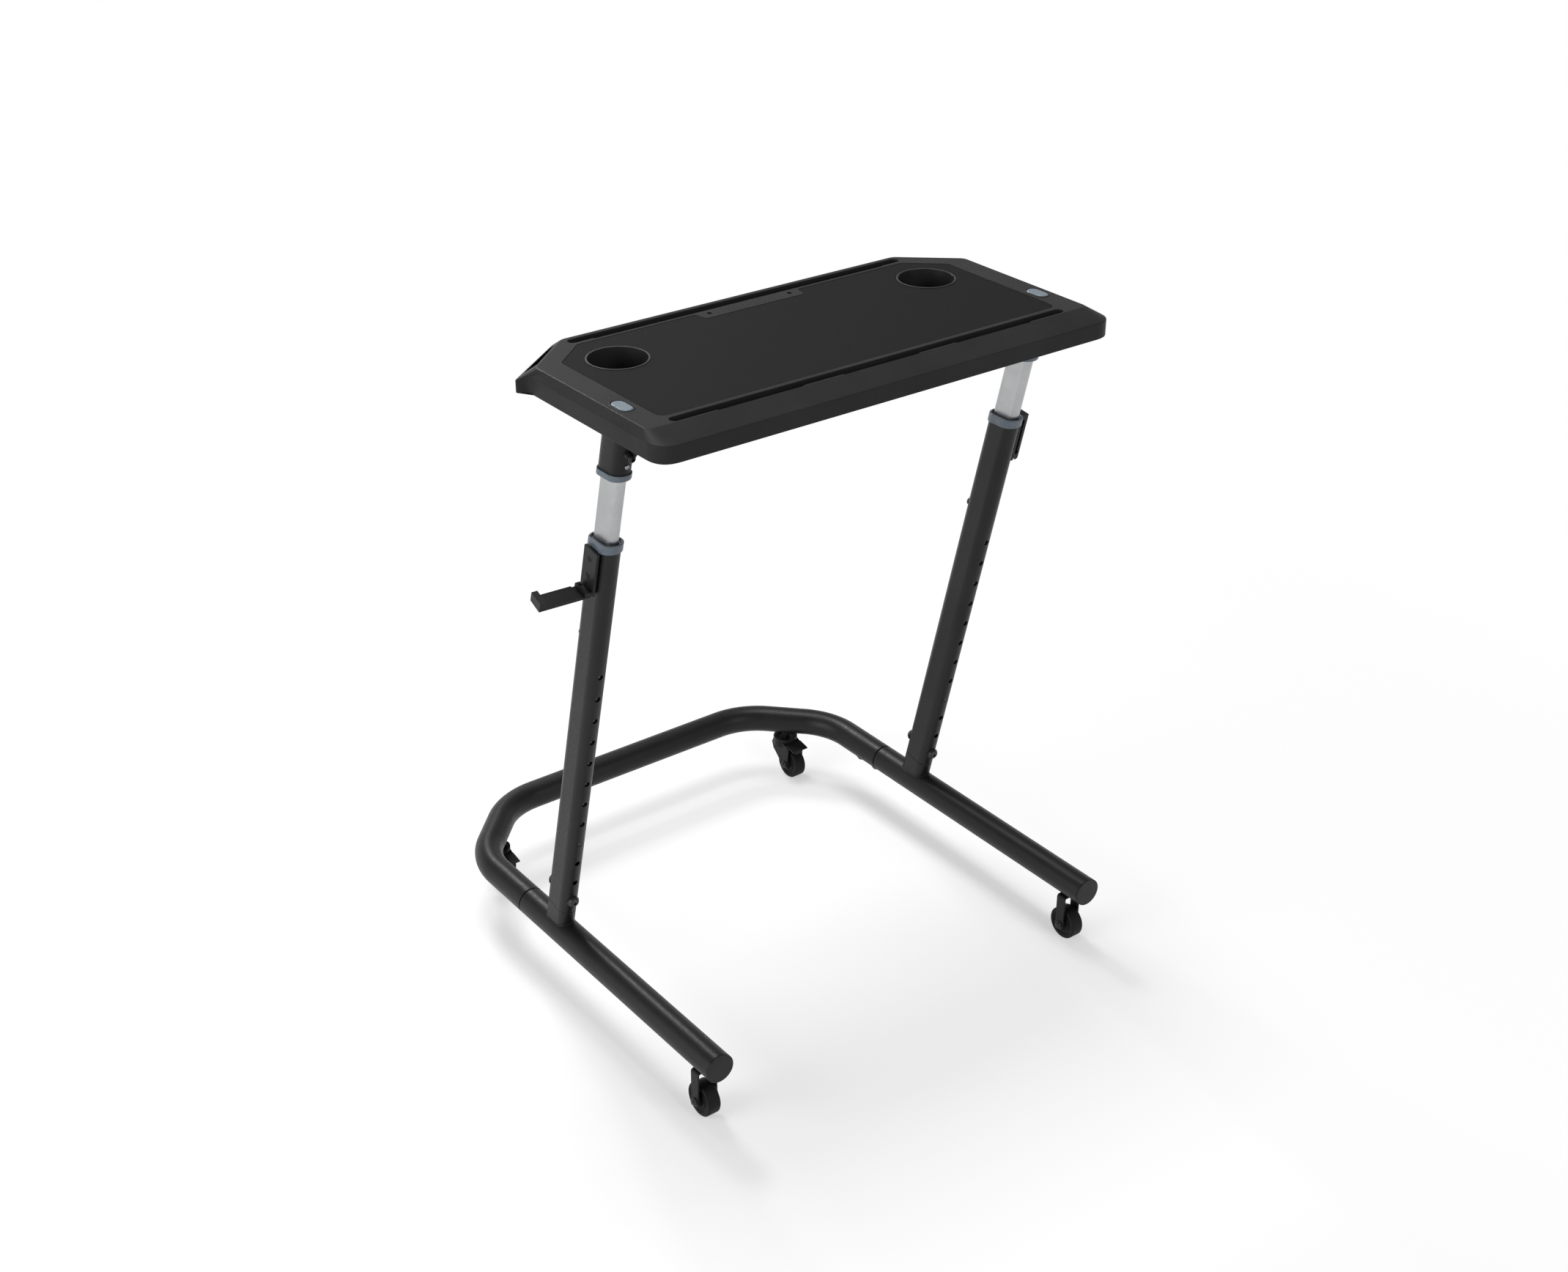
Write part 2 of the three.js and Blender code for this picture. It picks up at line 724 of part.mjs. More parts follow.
// A through bolt with its washers, seated on the round faces at the front and the rear
function leg_bolt() {
  const seat = leg_half_depth + touch_gap;
  const dome = leg_bolt_head_height / 2;
  const face = seat + washer_thickness;
  const end = face + leg_bolt_head_height;
  const half = [
    [leg_bolt_radius, seat],
    [washer_radius, seat],
    [washer_radius, face],
    [leg_bolt_head, face],
    [leg_bolt_head, end - dome],
    [leg_bolt_head - dome, end],
    [0, end],
  ];
  const other = half.map(([radius, height]) => [radius, -height]).reverse();
  const body = along_y(turned([...other, ...half], round_steps));
  const socket = along_y(prism(circle_points(hex_socket_radius, hex_sides), -end - cut_overrun,
    -end + hex_socket_depth));
  return geometry_of(cut(solid_of(body), socket)).translate(0, 0, leg_bolt_station);
}

function guide_screw() {
  const seat = leg_half_depth + touch_gap;
  const reach = inner_half_depth + slide_gap + touch_gap;
  const screw = headed_bolt(guide_screw_radius, reach, seat, guide_screw_head, guide_screw_head_height);
  return along_y(screw).translate(0, 0, guide_screw_station);
}

// A level ring round the end of a tube, with a sleeve inside it for the inner leg to run through.
// The tube's own wall is cut out by a shape passed in.
function collar_body(half_width, half_depth, station, height, sleeve_from, sleeve_to, tube_wall) {
  const ring = prism(oval_points(half_width, half_depth), -height / 2, height / 2)
    .rotateX(-lean).translate(0, 0, station);
  const sleeve = prism(oval_points(leg_bore_half_width - slide_gap, leg_bore_half_depth - slide_gap),
    sleeve_from, sleeve_to);
  const reach = height + leg_half_depth;
  const bore = prism(oval_points(inner_half_width + slide_gap, inner_half_depth + slide_gap),
    Math.min(sleeve_from, station) - reach, Math.max(sleeve_to, station) + reach);
  return joined(ring, sleeve).subtract(tube_wall).subtract(solid_of(bore));
}

function tube_wall_between(from, to) {
  return solid_of(prism(oval_points(leg_half_width + slide_gap, leg_half_depth + slide_gap), from, to,
    [oval_points(leg_bore_half_width - slide_gap, leg_bore_half_depth - slide_gap)]));
}

function lower_collar() {
  const lower_sleeve_bottom = lower_collar_station - lower_sleeve_length;
  const top = lower_collar_station + lower_collar_height / 2 / Math.cos(lean);
  const wall = cut(tube_wall_between(lower_sleeve_bottom - cut_overrun, top + leg_half_depth),
    above_level(leg_top + touch_gap));
  const body = collar_body(lower_collar_half_width, lower_collar_half_depth, lower_collar_station,
    lower_collar_height, lower_sleeve_bottom, lower_collar_station, wall);
  const lip = prism(oval_points(lower_collar_half_width - collar_lip_inset,
    lower_collar_half_depth - collar_lip_inset), -collar_lip_depth / 2, collar_lip_depth)
    .rotateX(-lean).translate(0, 0, top);
  const screw_hole = along_y(round_bar(guide_screw_radius + touch_gap, 0, leg_half_depth))
    .translate(0, 0, guide_screw_station);
  const scoops = [0, Math.PI].map((turn) => (
    along_x(turned([
      [0, lower_collar_half_width - scoop_depth],
      [scoop_radius / 2, lower_collar_half_width - scoop_depth],
      [scoop_radius, lower_collar_half_width + cut_overrun],
      [0, lower_collar_half_width + cut_overrun],
    ], round_steps)).rotateZ(turn).translate(0, 0, lower_collar_station - scoop_drop)));
  return geometry_of(cut(body, lip, screw_hole, ...scoops));
}

function upper_collar() {
  const reach = leg_half_depth * 2;
  const below = block(-reach, reach, -reach, reach, -reach, 0).rotateX(-lean)
    .translate(0, 0, socket_bottom - touch_gap);
  const wall = cut(tube_wall_between(socket_bottom - leg_half_depth, upper_sleeve_top + cut_overrun), below);
  return geometry_of(collar_body(upper_collar_half_width, upper_collar_half_depth, upper_collar_station,
    upper_collar_height, upper_collar_station, upper_sleeve_top, wall));
}

function inner_leg() {
  const bore = oval_points(inner_half_width - inner_wall, inner_half_depth - inner_wall);
  const tube = prism(oval_points(inner_half_width, inner_half_depth), inner_bottom, inner_top, [bore]);
  const bolt_hole = along_y(round_bar(top_bolt_radius + touch_gap, 0, leg_half_depth))
    .rotateX(Math.PI).translate(0, 0, top_bolt_station);
  return geometry_of(cut(solid_of(tube), bolt_hole));
}

// The shoe closes the inner leg's lower end, fills the outer leg's bore and holds the lock pin
function leg_shoe() {
  const plug_half_width = inner_half_width - inner_wall - slide_gap;
  const plug_half_depth = inner_half_depth - inner_wall - slide_gap;
  const shoe = prism(oval_points(leg_bore_half_width - slide_gap, leg_bore_half_depth - slide_gap),
    -shoe_below_pin, shoe_above_pin);
  const plug = prism(oval_points(plug_half_width, plug_half_depth), 0, shoe_above_pin + shoe_plug);
  const pin_bore = along_y(round_bar(pin_radius + touch_gap, 0, leg_half_depth)).rotateX(Math.PI);
  const cavity = block(-shoe_cavity_half, shoe_cavity_half, -shoe_cavity_back, shoe_cavity_back,
    -shoe_cavity_drop, shoe_above_pin);
  const rod_bore = round_bar(rod_radius + touch_gap, 0, shoe_above_pin + shoe_plug + cut_overrun);
  return geometry_of(cut(joined(shoe, plug), pin_bore, cavity, rod_bore)).translate(0, 0, lock_station);
}

function lock_pin() {
  const tip = leg_bore_half_depth - pin_tip_clearance;
  const pin = along_y(round_bar(pin_radius, tip - pin_length, tip));
  return pin.rotateX(Math.PI).translate(0, 0, lock_station);
}

function release_rod() {
  const stem_clearance = rod_radius * Math.tan(lean) + touch_gap;
  const top = tabletop_station - (button_stem_depth + stem_clearance) / Math.cos(lean);
  return round_bar(rod_radius, lock_station + rod_above_pin, top);
}

// Bracket: a socket for the inner leg below a level plate, in a frame at the plate's top.
// Built for the right side, where +x is the outer side.
function top_bracket() {
  const drop = socket_bottom - bracket_station - leg_half_depth;
  const overshoot = leg_half_depth;
  const tilted = (geometry, along) => geometry.translate(0, 0, along).rotateX(lean);
  const socket = tilted(prism(oval_points(leg_half_width, leg_half_depth), drop, overshoot), 0);
  const socket_end = (socket_bottom - bracket_station) * Math.cos(lean);
  const below = block(-bracket_plate_inner, bracket_plate_outer, -bracket_plate_half_length,
    bracket_plate_half_length, 2 * drop, socket_end);
  const plate_corners = [
    { x: bracket_plate_outer, y: -bracket_plate_half_length, reach: bracket_plate_corner },
    { x: bracket_plate_outer, y: bracket_plate_half_length, reach: bracket_plate_corner },
    { x: -bracket_plate_inner, y: bracket_plate_half_length, reach: bracket_plate_corner },
    { x: -bracket_plate_inner, y: -bracket_plate_half_length, reach: bracket_plate_corner },
  ];
  const plate = prism(flat_points(rounded_points(plate_corners)), -bracket_plate_thickness, 0);
  const gusset_root = leg_wall / 2 - leg_half_width;
  const gusset_shape = [
    new THREE.Vector2(gusset_root, -gusset_height),
    new THREE.Vector2(gusset_root, 0),
    new THREE.Vector2(gusset_root - gusset_reach, 0),
  ];
  const gusset = tilted(prism(gusset_shape, -gusset_thickness / 2, gusset_thickness / 2)
    .rotateX(Math.PI / 2).translate(0, -gusset_forward, 0), 0);
  const boss_centre = top_bolt_station - bracket_station;
  const boss_end = leg_half_depth + top_boss_height;
  const forward_bar = (radius, from, to) => (
    tilted(along_y(round_bar(radius, from, to)).rotateX(Math.PI), boss_centre));
  const boss = forward_bar(top_boss_radius, socket_bore_half_depth, boss_end);
  const bolt_hole = forward_bar(top_bolt_radius + touch_gap, 0, boss_end + cut_overrun);
  const above = block(-bracket_plate_inner, bracket_plate_outer, -bracket_plate_half_length,
    bracket_plate_half_length, 0, overshoot * 2);
  const bore_top = -bracket_plate_thickness - leg_half_depth * Math.sin(lean);
  const bore = tilted(prism(oval_points(socket_bore_half_width, socket_bore_half_depth),
    drop - cut_overrun, bore_top), 0);
  const rod_shaft = prism(oval_points(stem_shaft_half_width, stem_shaft_half_length),
    bore_top - leg_half_depth / 2, cut_overrun);
  return geometry_of(cut(joined(socket, plate, gusset, boss), above, below, rod_shaft, bore, bolt_hole));
}

function top_bolt() {
  const seat = leg_half_depth + top_boss_height + touch_gap;
  const bolt = headed_bolt(top_bolt_radius, top_bolt_reach, seat, top_bolt_head, top_bolt_head_height);
  const end = seat + top_bolt_head_height;
  const socket = prism(circle_points(hex_socket_radius, hex_sides), end - hex_socket_depth, end + cut_overrun);
  return along_y(geometry_of(cut(solid_of(bolt), socket))).rotateX(Math.PI).translate(0, 0, top_bolt_station);
}

// Tabletop, in a frame at its top face above the leg axes
function outline_ring(half, height) {
  const corners = mirrored(half).map((corner) => ({ ...corner, z: height - (corner.drop ?? 0) }));
  return rounded_points(corners);
}

function top_edge() {
  const side_y = top_chamfer_y - top_corner_reach * 2;
  return [
    { x: top_half_width, y: -top_front, reach: top_corner_reach },
    { x: top_half_width, y: side_y, reach: small_corner_reach },
    { x: top_half_width, y: top_chamfer_y, reach: small_corner_reach },
    { x: top_chamfer_x, y: top_rear, reach: small_corner_reach },
  ];
}

function outer_edge(ear_fall) {
  return [
    { x: table_half_width, y: -table_front, reach: front_corner_reach },
    { x: table_half_width, y: ear_root_y, reach: small_corner_reach },
    { x: ear_x, y: ear_y, reach: small_corner_reach, drop: ear_fall },
    { x: rear_corner_x, y: table_rear, reach: small_corner_reach },
  ];
}

function panel_outline(inset) {
  return flat_points(rounded_points(mirrored([
    { x: table_half_width - inset, y: inset - table_front, reach: front_corner_reach - inset },
    { x: table_half_width - inset, y: ear_root_y - inset, reach: small_corner_reach },
    { x: rear_corner_x - inset, y: table_rear - inset, reach: small_corner_reach },
  ])));
}

function mat_outline(inset) {
  const front = { x: mat_half_width - inset, y: inset - mat_front, reach: mat_front_reach };
  const bend = { x: mat_half_width - inset, y: mat_chamfer_y, reach: mat_rear_reach };
  const rear = { x: mat_chamfer_x, y: mat_rear - inset, reach: mat_rear_reach };
  const notch_top = { x: notch_top_half + inset, y: mat_rear - inset, reach: notch_reach };
  const notch_low = { x: notch_bottom_half + inset, y: notch_y - inset, reach: notch_reach };
  return flat_points(rounded_points(mirrored([front, bend, rear, notch_top, notch_low])));
}

// A slot outline with wider stretches on one side: each span is [from, to] along x
function slot_cutters(half_length, centre_y, half_width, step_sign, spans) {
  const run = oval_points(half_width, half_length).map((point) => new THREE.Vector2(point.y, -point.x));
  const channel = prism(run, -slot_depth, cut_overrun + bevel_drop).translate(0, centre_y, 0);
  const wide = spans.map(([from, to]) => {
    const edge = centre_y + step_sign * (half_width + slot_step);
    return block(from, to, Math.min(centre_y, edge), Math.max(centre_y, edge), -slot_depth,
      cut_overrun + bevel_drop);
  });
  return [channel, ...wide];
}

function groove_cutter(sign) {
  const inner_from = new THREE.Vector2(top_half_width, top_chamfer_y);
  const inner_to = new THREE.Vector2(top_chamfer_x, top_rear);
  const outer_from = new THREE.Vector2(ear_x, ear_y);
  const outer_to = new THREE.Vector2(rear_corner_x, table_rear);
  const along = inner_to.clone().sub(inner_from).normalize();
  const outward = new THREE.Vector2(along.y, -along.x).multiplyScalar(-1).negate();
  const corners = [
    inner_from.clone().lerp(inner_to, groove_start_share).addScaledVector(outward, groove_inner_gap),
    outer_from.clone().lerp(outer_to, groove_start_share).addScaledVector(outward, -groove_lip),
    outer_from.clone().lerp(outer_to, groove_end_share).addScaledVector(outward, -groove_lip),
    inner_from.clone().lerp(inner_to, groove_end_share).addScaledVector(outward, groove_inner_gap),
  ].map((point) => new THREE.Vector2(sign * point.x, point.y));
  return prism(corners, -groove_depth, cut_overrun);
}

function tabletop() {
  const top_ring = outline_ring(top_edge(), 0);
  const bevel_ring = outline_ring(outer_edge(ear_drop - bevel_drop), -bevel_drop);
  const bottom_ring = outline_ring(outer_edge(0), -table_thickness);
  const body = solid_of(loft([bottom_ring, bevel_ring, top_ring]));
  const rim_hollow = prism(panel_outline(skirt_wall), -table_thickness - cut_overrun, -panel_depth);
  const core = block(-core_half_width, core_half_width, -core_front, core_rear, -panel_depth - cut_overrun,
    -core_ceiling);
  const pocket = prism(mat_outline(0), pocket_floor, cut_overrun);
  const front_slot = slot_cutters(front_slot_half, -front_slot_y, front_slot_half_width, -1, [
    [-slot_wide_to, -slot_wide_from],
    [-slot_middle_half, slot_middle_half],
    [slot_wide_from, slot_wide_to],
  ]);
  const rear_slot = slot_cutters(rear_slot_half, rear_slot_y, rear_slot_half_width, -1, [
    [-rear_slot_wide_half, rear_slot_wide_half],
  ]);
  const holes = sides.flatMap(({ sign }) => [
    round_bar(cup_radius + cup_wall + touch_gap, -table_thickness, cut_overrun, cup_steps)
      .translate(sign * cup_x, cup_y, 0),
    round_bar(strip_hole_radius, -strip_hole_depth, cut_overrun, round_steps)
      .translate(sign * strip_hole_x, strip_hole_y, 0),
    prism(oval_points(button_half_width + slide_gap, button_half_length + slide_gap),
      -button_depth - button_travel - touch_gap, cut_overrun).translate(sign * rail_x, 0, 0),
    prism(oval_points(stem_shaft_half_width, stem_shaft_half_length), -table_thickness, -button_depth)
      .translate(sign * rail_x, 0, 0),
    groove_cutter(sign),
  ]);
  return geometry_of(cut(body, rim_hollow, core, pocket, ...front_slot, ...rear_slot, ...holes));
}

function mat() {
  const floor = pocket_floor + touch_gap;
  const holes = sides.map(({ sign }) => (
    circle_points(cup_flange_radius + touch_gap, cup_steps)
      .map((point) => new THREE.Vector2(point.x + sign * cup_x, point.y + cup_y))));
  return prism(mat_outline(touch_gap), floor, floor + mat_thickness, holes);
}

function cup_holder() {
  const outer = cup_radius + cup_wall;
  const seat = pocket_floor + touch_gap;
  return turned([
    [0, -cup_depth],
    [outer - cup_taper, -cup_depth],
    [outer, seat],
    [cup_flange_radius, seat],
    [cup_flange_radius, cup_ring_proud],
    [cup_radius, cup_ring_proud],
    [cup_radius - cup_taper, cup_floor - cup_depth],
    [0, cup_floor - cup_depth],
  ], cup_steps);
}

function underside_panel() {
  const top = -panel_depth;
  const outline = panel_outline(skirt_wall + touch_gap);
  const rod_y = (panel_depth + panel_thickness / 2) * Math.tan(lean);
  const holes = sides.flatMap(({ sign }) => [
    circle_points(cup_radius + cup_wall + touch_gap, cup_steps)
      .map((point) => new THREE.Vector2(point.x + sign * cup_x, point.y + cup_y)),
    oval_points(stem_shaft_half_width, stem_shaft_half_length)
      .map((point) => new THREE.Vector2(point.x + sign * rail_x, point.y + rod_y)),
  ]);
  return prism(outline, top - panel_thickness, top - touch_gap, holes);
}

function button() {
  const top = button_proud;
  const rings = [
    [-button_depth, 0],
    [top - button_edge, 0],
    [top, button_edge],
  ].map(([height, inset]) => (
    oval_points(button_half_width - inset, button_half_length - inset)
      .map((point) => new THREE.Vector3(point.x, point.y, height))));
  const stem = round_bar(button_stem_radius, -button_stem_depth, 0);
  return geometry_of(joined(loft(rings), stem));
}

// Hooks, in the leg's frame: built on the +x side of the leg and mirrored for the left one
function hook_bracket() {
  const face = leg_half_width + touch_gap;
  const inner = face + hook_pad_thickness;
  const outer = inner + hook_plate_thickness;
  const outline = [
    [-hook_half_width, hook_plate_bottom],
    [hook_half_width, hook_plate_bottom],
    [hook_half_width, hook_plate_top - hook_plate_top_fall],
    [-hook_half_width, hook_plate_top],
  ].map(([y, z]) => new THREE.Vector2(y, z));
  const plate = prism(outline, inner, outer).rotateX(Math.PI / 2).rotateZ(Math.PI / 2);
  const pad = block(face, outer, -hook_pad_half_width, hook_pad_half_width, hook_plate_bottom, hook_pad_top);
  const lug_web = block(inner, hook_pivot_x, -hook_lug_half_width, hook_lug_half_width,
    hook_pivot_station - hook_lug_radius, hook_pivot_station + hook_lug_radius);
  const lug = along_y(round_bar(hook_lug_radius, -hook_lug_half_width, hook_lug_half_width, round_steps))
    .translate(hook_pivot_x, 0, hook_pivot_station);
  const pin_hole = along_y(round_bar(hook_pin_radius + touch_gap, -hook_half_width, hook_half_width))
    .translate(hook_pivot_x, 0, hook_pivot_station);
  const screws = [hook_screw_low, hook_screw_high].map((height) => (
    along_x(round_bar(hook_screw_radius, outer - hook_screw_depth, outer + cut_overrun, round_steps))
      .translate(0, 0, hook_plate_bottom + height)));
  return geometry_of(cut(joined(plate, pad, lug_web, lug), pin_hole, ...screws));
}

// The arm points along +x from its pivot, and its tip and stop block stand up.
// The outer end is slanted, and a groove runs across the arm beside the stop block.
function hook_arm() {
  const top = hook_arm_thickness - hook_arm_below;
  const slanted = (from) => [
    new THREE.Vector2(from, -hook_half_width),
    new THREE.Vector2(hook_arm_length, -hook_half_width),
    new THREE.Vector2(hook_arm_length - hook_tip_slant, hook_arm_rear),
    new THREE.Vector2(from === 0 ? 0 : from - hook_tip_slant, hook_arm_rear),
  ];
  const arm = prism(slanted(0), -hook_arm_below, top);
  const tip = prism(slanted(hook_arm_length - hook_tip_thickness), -hook_arm_below,
    hook_tip_height - hook_arm_below);
  const knuckle = along_y(round_bar(hook_arm_below, -hook_half_width, hook_arm_rear, round_steps));
  const stop = block(-hook_block_inner, hook_block_outer, -hook_half_width, hook_arm_rear, 0,
    top + hook_block_height);
  const groove = block(hook_block_outer, hook_groove_end, -hook_half_width - cut_overrun,
    hook_arm_rear + cut_overrun, top - hook_groove_depth, top + cut_overrun);
  const lug_room = hook_lug_radius + touch_gap;
  const lug_half = hook_lug_half_width + touch_gap;
  const clearance = block(-lug_room, lug_room, -lug_half, lug_half, -lug_room - cut_overrun,
    lug_room + cut_overrun);
  const pin_hole = along_y(round_bar(hook_pin_radius + touch_gap, -hook_half_width - cut_overrun,
    hook_half_width + cut_overrun));
  return geometry_of(cut(joined(arm, knuckle, tip, stop), groove, clearance, pin_hole));
}

function hook_pin() {
  return along_y(round_bar(hook_pin_radius, touch_gap - hook_half_width, hook_arm_rear - touch_gap));
}

// Casters: one wheel form, on fixed forks in front and on swivel forks behind
function wheel() {
  const bore = axle_radius + touch_gap;
  const half = [
    [wheel_radius, wheel_half_width - wheel_edge],
    [wheel_radius - wheel_edge, wheel_half_width],
    [recess_radius, wheel_half_width],
    [hub_radius, wheel_half_width - recess_depth],
    [hub_radius, hub_half_width],
    [bore, hub_half_width],
  ];
  const other = half.map(([radius, height]) => [radius, -height]).reverse();
  return along_x(turned([...other, ...half, other[0]], wheel_steps));
}

function wheel_axle() {
  const seat = axle_half + touch_gap;
  const nut = seat + axle_head_thickness / 2;
  return along_x(turned([
    [0, -seat - axle_head_thickness],
    [axle_head_radius, -seat - axle_head_thickness],
    [axle_head_radius, -seat],
    [axle_radius, -seat],
    [axle_radius, seat],
    [axle_nut_radius, seat],
    [axle_nut_radius, nut],
    [0, nut],
  ], small_round_steps));
}

// A fork side as a flat plate: its outline is drawn in y and z and given its thickness along x
function fork_side(points, sign) {
  const outline = points.map(([y, z]) => new THREE.Vector2(y, z));
  const plate = prism(outline, 0, fork_plate).rotateX(Math.PI / 2).rotateZ(Math.PI / 2);
  const from = sign > 0 ? fork_inner_half : -fork_inner_half - fork_plate;
  return plate.translate(from, 0, 0);
}

function round_end(centre_y, centre_z, radius, from_angle, to_angle) {
  return Array.from({ length: small_round_steps + 1 }, (unused, index) => {
    const angle = from_angle + ((to_angle - from_angle) * index) / small_round_steps;
    return [centre_y + radius * Math.cos(angle), centre_z + radius * Math.sin(angle)];
  });
}

function front_fork() {
  const top = rail_bottom - touch_gap;
  const outline = [
    [fork_half_length, top],
    [-fork_half_length, top],
    ...round_end(0, wheel_axle_height, fork_half_length, Math.PI, 2 * Math.PI),
  ];
  const bridge = block(-axle_half, axle_half, -fork_half_length, fork_half_length, top - fork_plate, top);
  const stud = round_bar(fork_stud_radius, top - fork_plate, top + fork_stud_reach);
  const body = joined(bridge, fork_side(outline, 1), fork_side(outline, -1), stud);
  return geometry_of(cut(body, cross_hole(axle_radius, 0, wheel_axle_height)));
}

function swivel_fork() {
  const outline = [
    [caster_fork_top_half, caster_floor_top],
    [-caster_fork_top_half, caster_floor_top],
    ...round_end(-pedal_pivot_y, pedal_pivot_height, pedal_lobe_radius, lobe_start, lobe_end),
    ...round_end(-caster_trail, wheel_axle_height, caster_fork_end_radius, Math.PI, fork_end_turn),
    [caster_fork_waist, caster_fork_waist_height],
    [caster_fork_rear, caster_floor_bottom],
  ];
  const housing = turned([
    [caster_stem_radius + touch_gap, caster_floor_bottom],
    [caster_housing_radius, caster_floor_bottom],
    [caster_housing_radius, caster_housing_top],
    [caster_housing_radius - caster_rim, caster_housing_top],
    [caster_housing_radius - caster_rim * 2, caster_floor_top],
    [caster_stem_radius + touch_gap, caster_floor_top],
    [caster_stem_radius + touch_gap, caster_floor_bottom],
  ], wheel_steps);
  const body = joined(housing, fork_side(outline, 1), fork_side(outline, -1));
  return geometry_of(cut(body, cross_hole(axle_radius, caster_trail, wheel_axle_height),
    cross_hole(pedal_pin_radius, pedal_pivot_y, pedal_pivot_height)));
}

// A hole along x through both sides of a fork, at a distance in front of the fork's origin
function cross_hole(radius, forward, height) {
  const half = axle_half + cut_overrun;
  return along_x(round_bar(radius + touch_gap, -half, half)).translate(0, -forward, height);
}

function caster_stem() {
  const head_top = caster_floor_bottom - touch_gap;
  const nut_from = caster_floor_top + touch_gap;
  const nut_to = rail_bottom - touch_gap;
  const stem = turned([
    [0, head_top - caster_stem_head_height],
    [caster_stem_head, head_top - caster_stem_head_height],
    [caster_stem_head, head_top],
    [caster_stem_radius, head_top],
    [caster_stem_radius, rail_bottom + caster_stem_reach],
    [0, rail_bottom + caster_stem_reach],
  ], small_round_steps);
  const nut = prism(circle_points(caster_nut_radius, hex_sides), nut_from, nut_to);
  return geometry_of(joined(stem, nut));
}

// The pedal's plate slopes down to the front, and a barrel below it turns between the fork sides
function brake_pedal() {
  const plate_outline = [
    [-pedal_rear, pedal_rear_height - pedal_thickness],
    [-pedal_rear, pedal_rear_height],
    [-pedal_front, pedal_front_height],
    [-pedal_front, pedal_front_height - pedal_thickness],
  ].map(([y, z]) => new THREE.Vector2(y, z));
  const plate = prism(plate_outline, -pedal_half_width, pedal_half_width)
    .rotateX(Math.PI / 2).rotateZ(Math.PI / 2);
  const half = fork_inner_half - slide_gap;
  const barrel = along_x(round_bar(pedal_barrel_radius, -half, half))
    .translate(0, -pedal_pivot_y, pedal_pivot_height);
  const pin = along_x(round_bar(pedal_pin_radius, -axle_half, axle_half))
    .translate(0, -pedal_pivot_y, pedal_pivot_height);
  const neck = block(-half, half, -pedal_pivot_y - pedal_barrel_radius, -pedal_rear - touch_gap,
    pedal_pivot_height, pedal_rear_height - pedal_thickness);
  const from_axle = pedal_shoe_rear - caster_trail;
  const tyre_top = wheel_axle_height + Math.sqrt(wheel_radius ** 2 - from_axle ** 2);
  const shoe = block(-pedal_shoe_half_width, pedal_shoe_half_width, -pedal_shoe_front, -pedal_shoe_rear,
    tyre_top + pedal_shoe_gap, pedal_front_height);
  return geometry_of(joined(plate, barrel, pin, neck, shoe));
}

// The base
const base = frame_at(0, 0, rail_height);
place(base, 'rear_loop', rear_loop(), black_steel);

for (const { name, sign } of sides) {
  const rail = frame_at(sign * rail_x, 0, rail_height);
  place(rail, `side_rail_${name}`, side_rail(), black_steel);
  place(rail, `rail_end_cap_${name}`, rail_end_cap(), dark_plastic);
  rail_bolt_places().forEach((y, index) => {
    const place_name = ['front', 'rear'][index];
    place(rail, `rail_bolt_${place_name}_${name}`, rail_bolt(), black_bolt).position.y = y;
  });

  const fork = frame_at(sign * rail_x, -front_wheel_y, 0);
  place(fork, `front_fork_${name}`, front_fork(), black_steel);
  place(fork, `front_wheel_${name}`, wheel(), tyre_rubber).position.z = wheel_axle_height;
  place(fork, `front_axle_${name}`, wheel_axle(), black_bolt).position.z = wheel_axle_height;

  const caster = frame_at(sign * caster_x, caster_y, 0);
  place(caster, `caster_stem_${name}`, caster_stem(), black_bolt);
  place(caster, `caster_fork_${name}`, swivel_fork(), black_steel);
  place(caster, `brake_pedal_${name}`, brake_pedal(), black_steel);
  place(caster, `caster_wheel_${name}`, wheel(), tyre_rubber)
    .position.set(0, -caster_trail, wheel_axle_height);
  place(caster, `caster_axle_${name}`, wheel_axle(), black_bolt)
    .position.set(0, -caster_trail, wheel_axle_height);

  // The leg and what it carries
  const leg = frame_at(sign * rail_x, 0, rail_height);
  leg.rotation.x = lean;
  place(leg, `outer_leg_${name}`, outer_leg(), black_steel);
  place(leg, `leg_bolt_${name}`, leg_bolt(), black_bolt);
  place(leg, `guide_screw_${name}`, guide_screw(), black_bolt);
  place(leg, `lower_collar_${name}`, lower_collar(), blue_grey);
  place(leg, `upper_collar_${name}`, upper_collar(), blue_grey);
  place(leg, `inner_leg_${name}`, inner_leg(), silver_tube);
  place(leg, `leg_shoe_${name}`, leg_shoe(), dark_plastic);
  place(leg, `lock_pin_${name}`, lock_pin(), plain_steel);
  place(leg, `release_rod_${name}`, release_rod(), plain_steel);
  place(leg, `top_bolt_${name}`, top_bolt(), black_bolt);

  // The left hook is folded out and the right one is folded up against its plate
  const hook = new THREE.Group();
  hook.scale.x = sign;
  leg.add(hook);
  place(hook, `hook_plate_${name}`, hook_bracket(), dark_plastic);
  const arm = place(hook, `hook_arm_${name}`, hook_arm(), dark_plastic);
  arm.position.set(hook_pivot_x, 0, hook_pivot_station);
  arm.rotation.y = sign > 0 ? -Math.PI / 2 : -THREE.MathUtils.degToRad(hook_arm_rise_degrees);
  place(hook, `hook_pin_${name}`, hook_pin(), plain_steel).position.copy(arm.position);

  const bracket = frame_at(sign * rail_x, -bracket_station * Math.sin(lean), tabletop_height - bracket_drop);
  place(bracket, `top_bracket_${name}`, top_bracket(), black_steel).scale.x = sign;
}

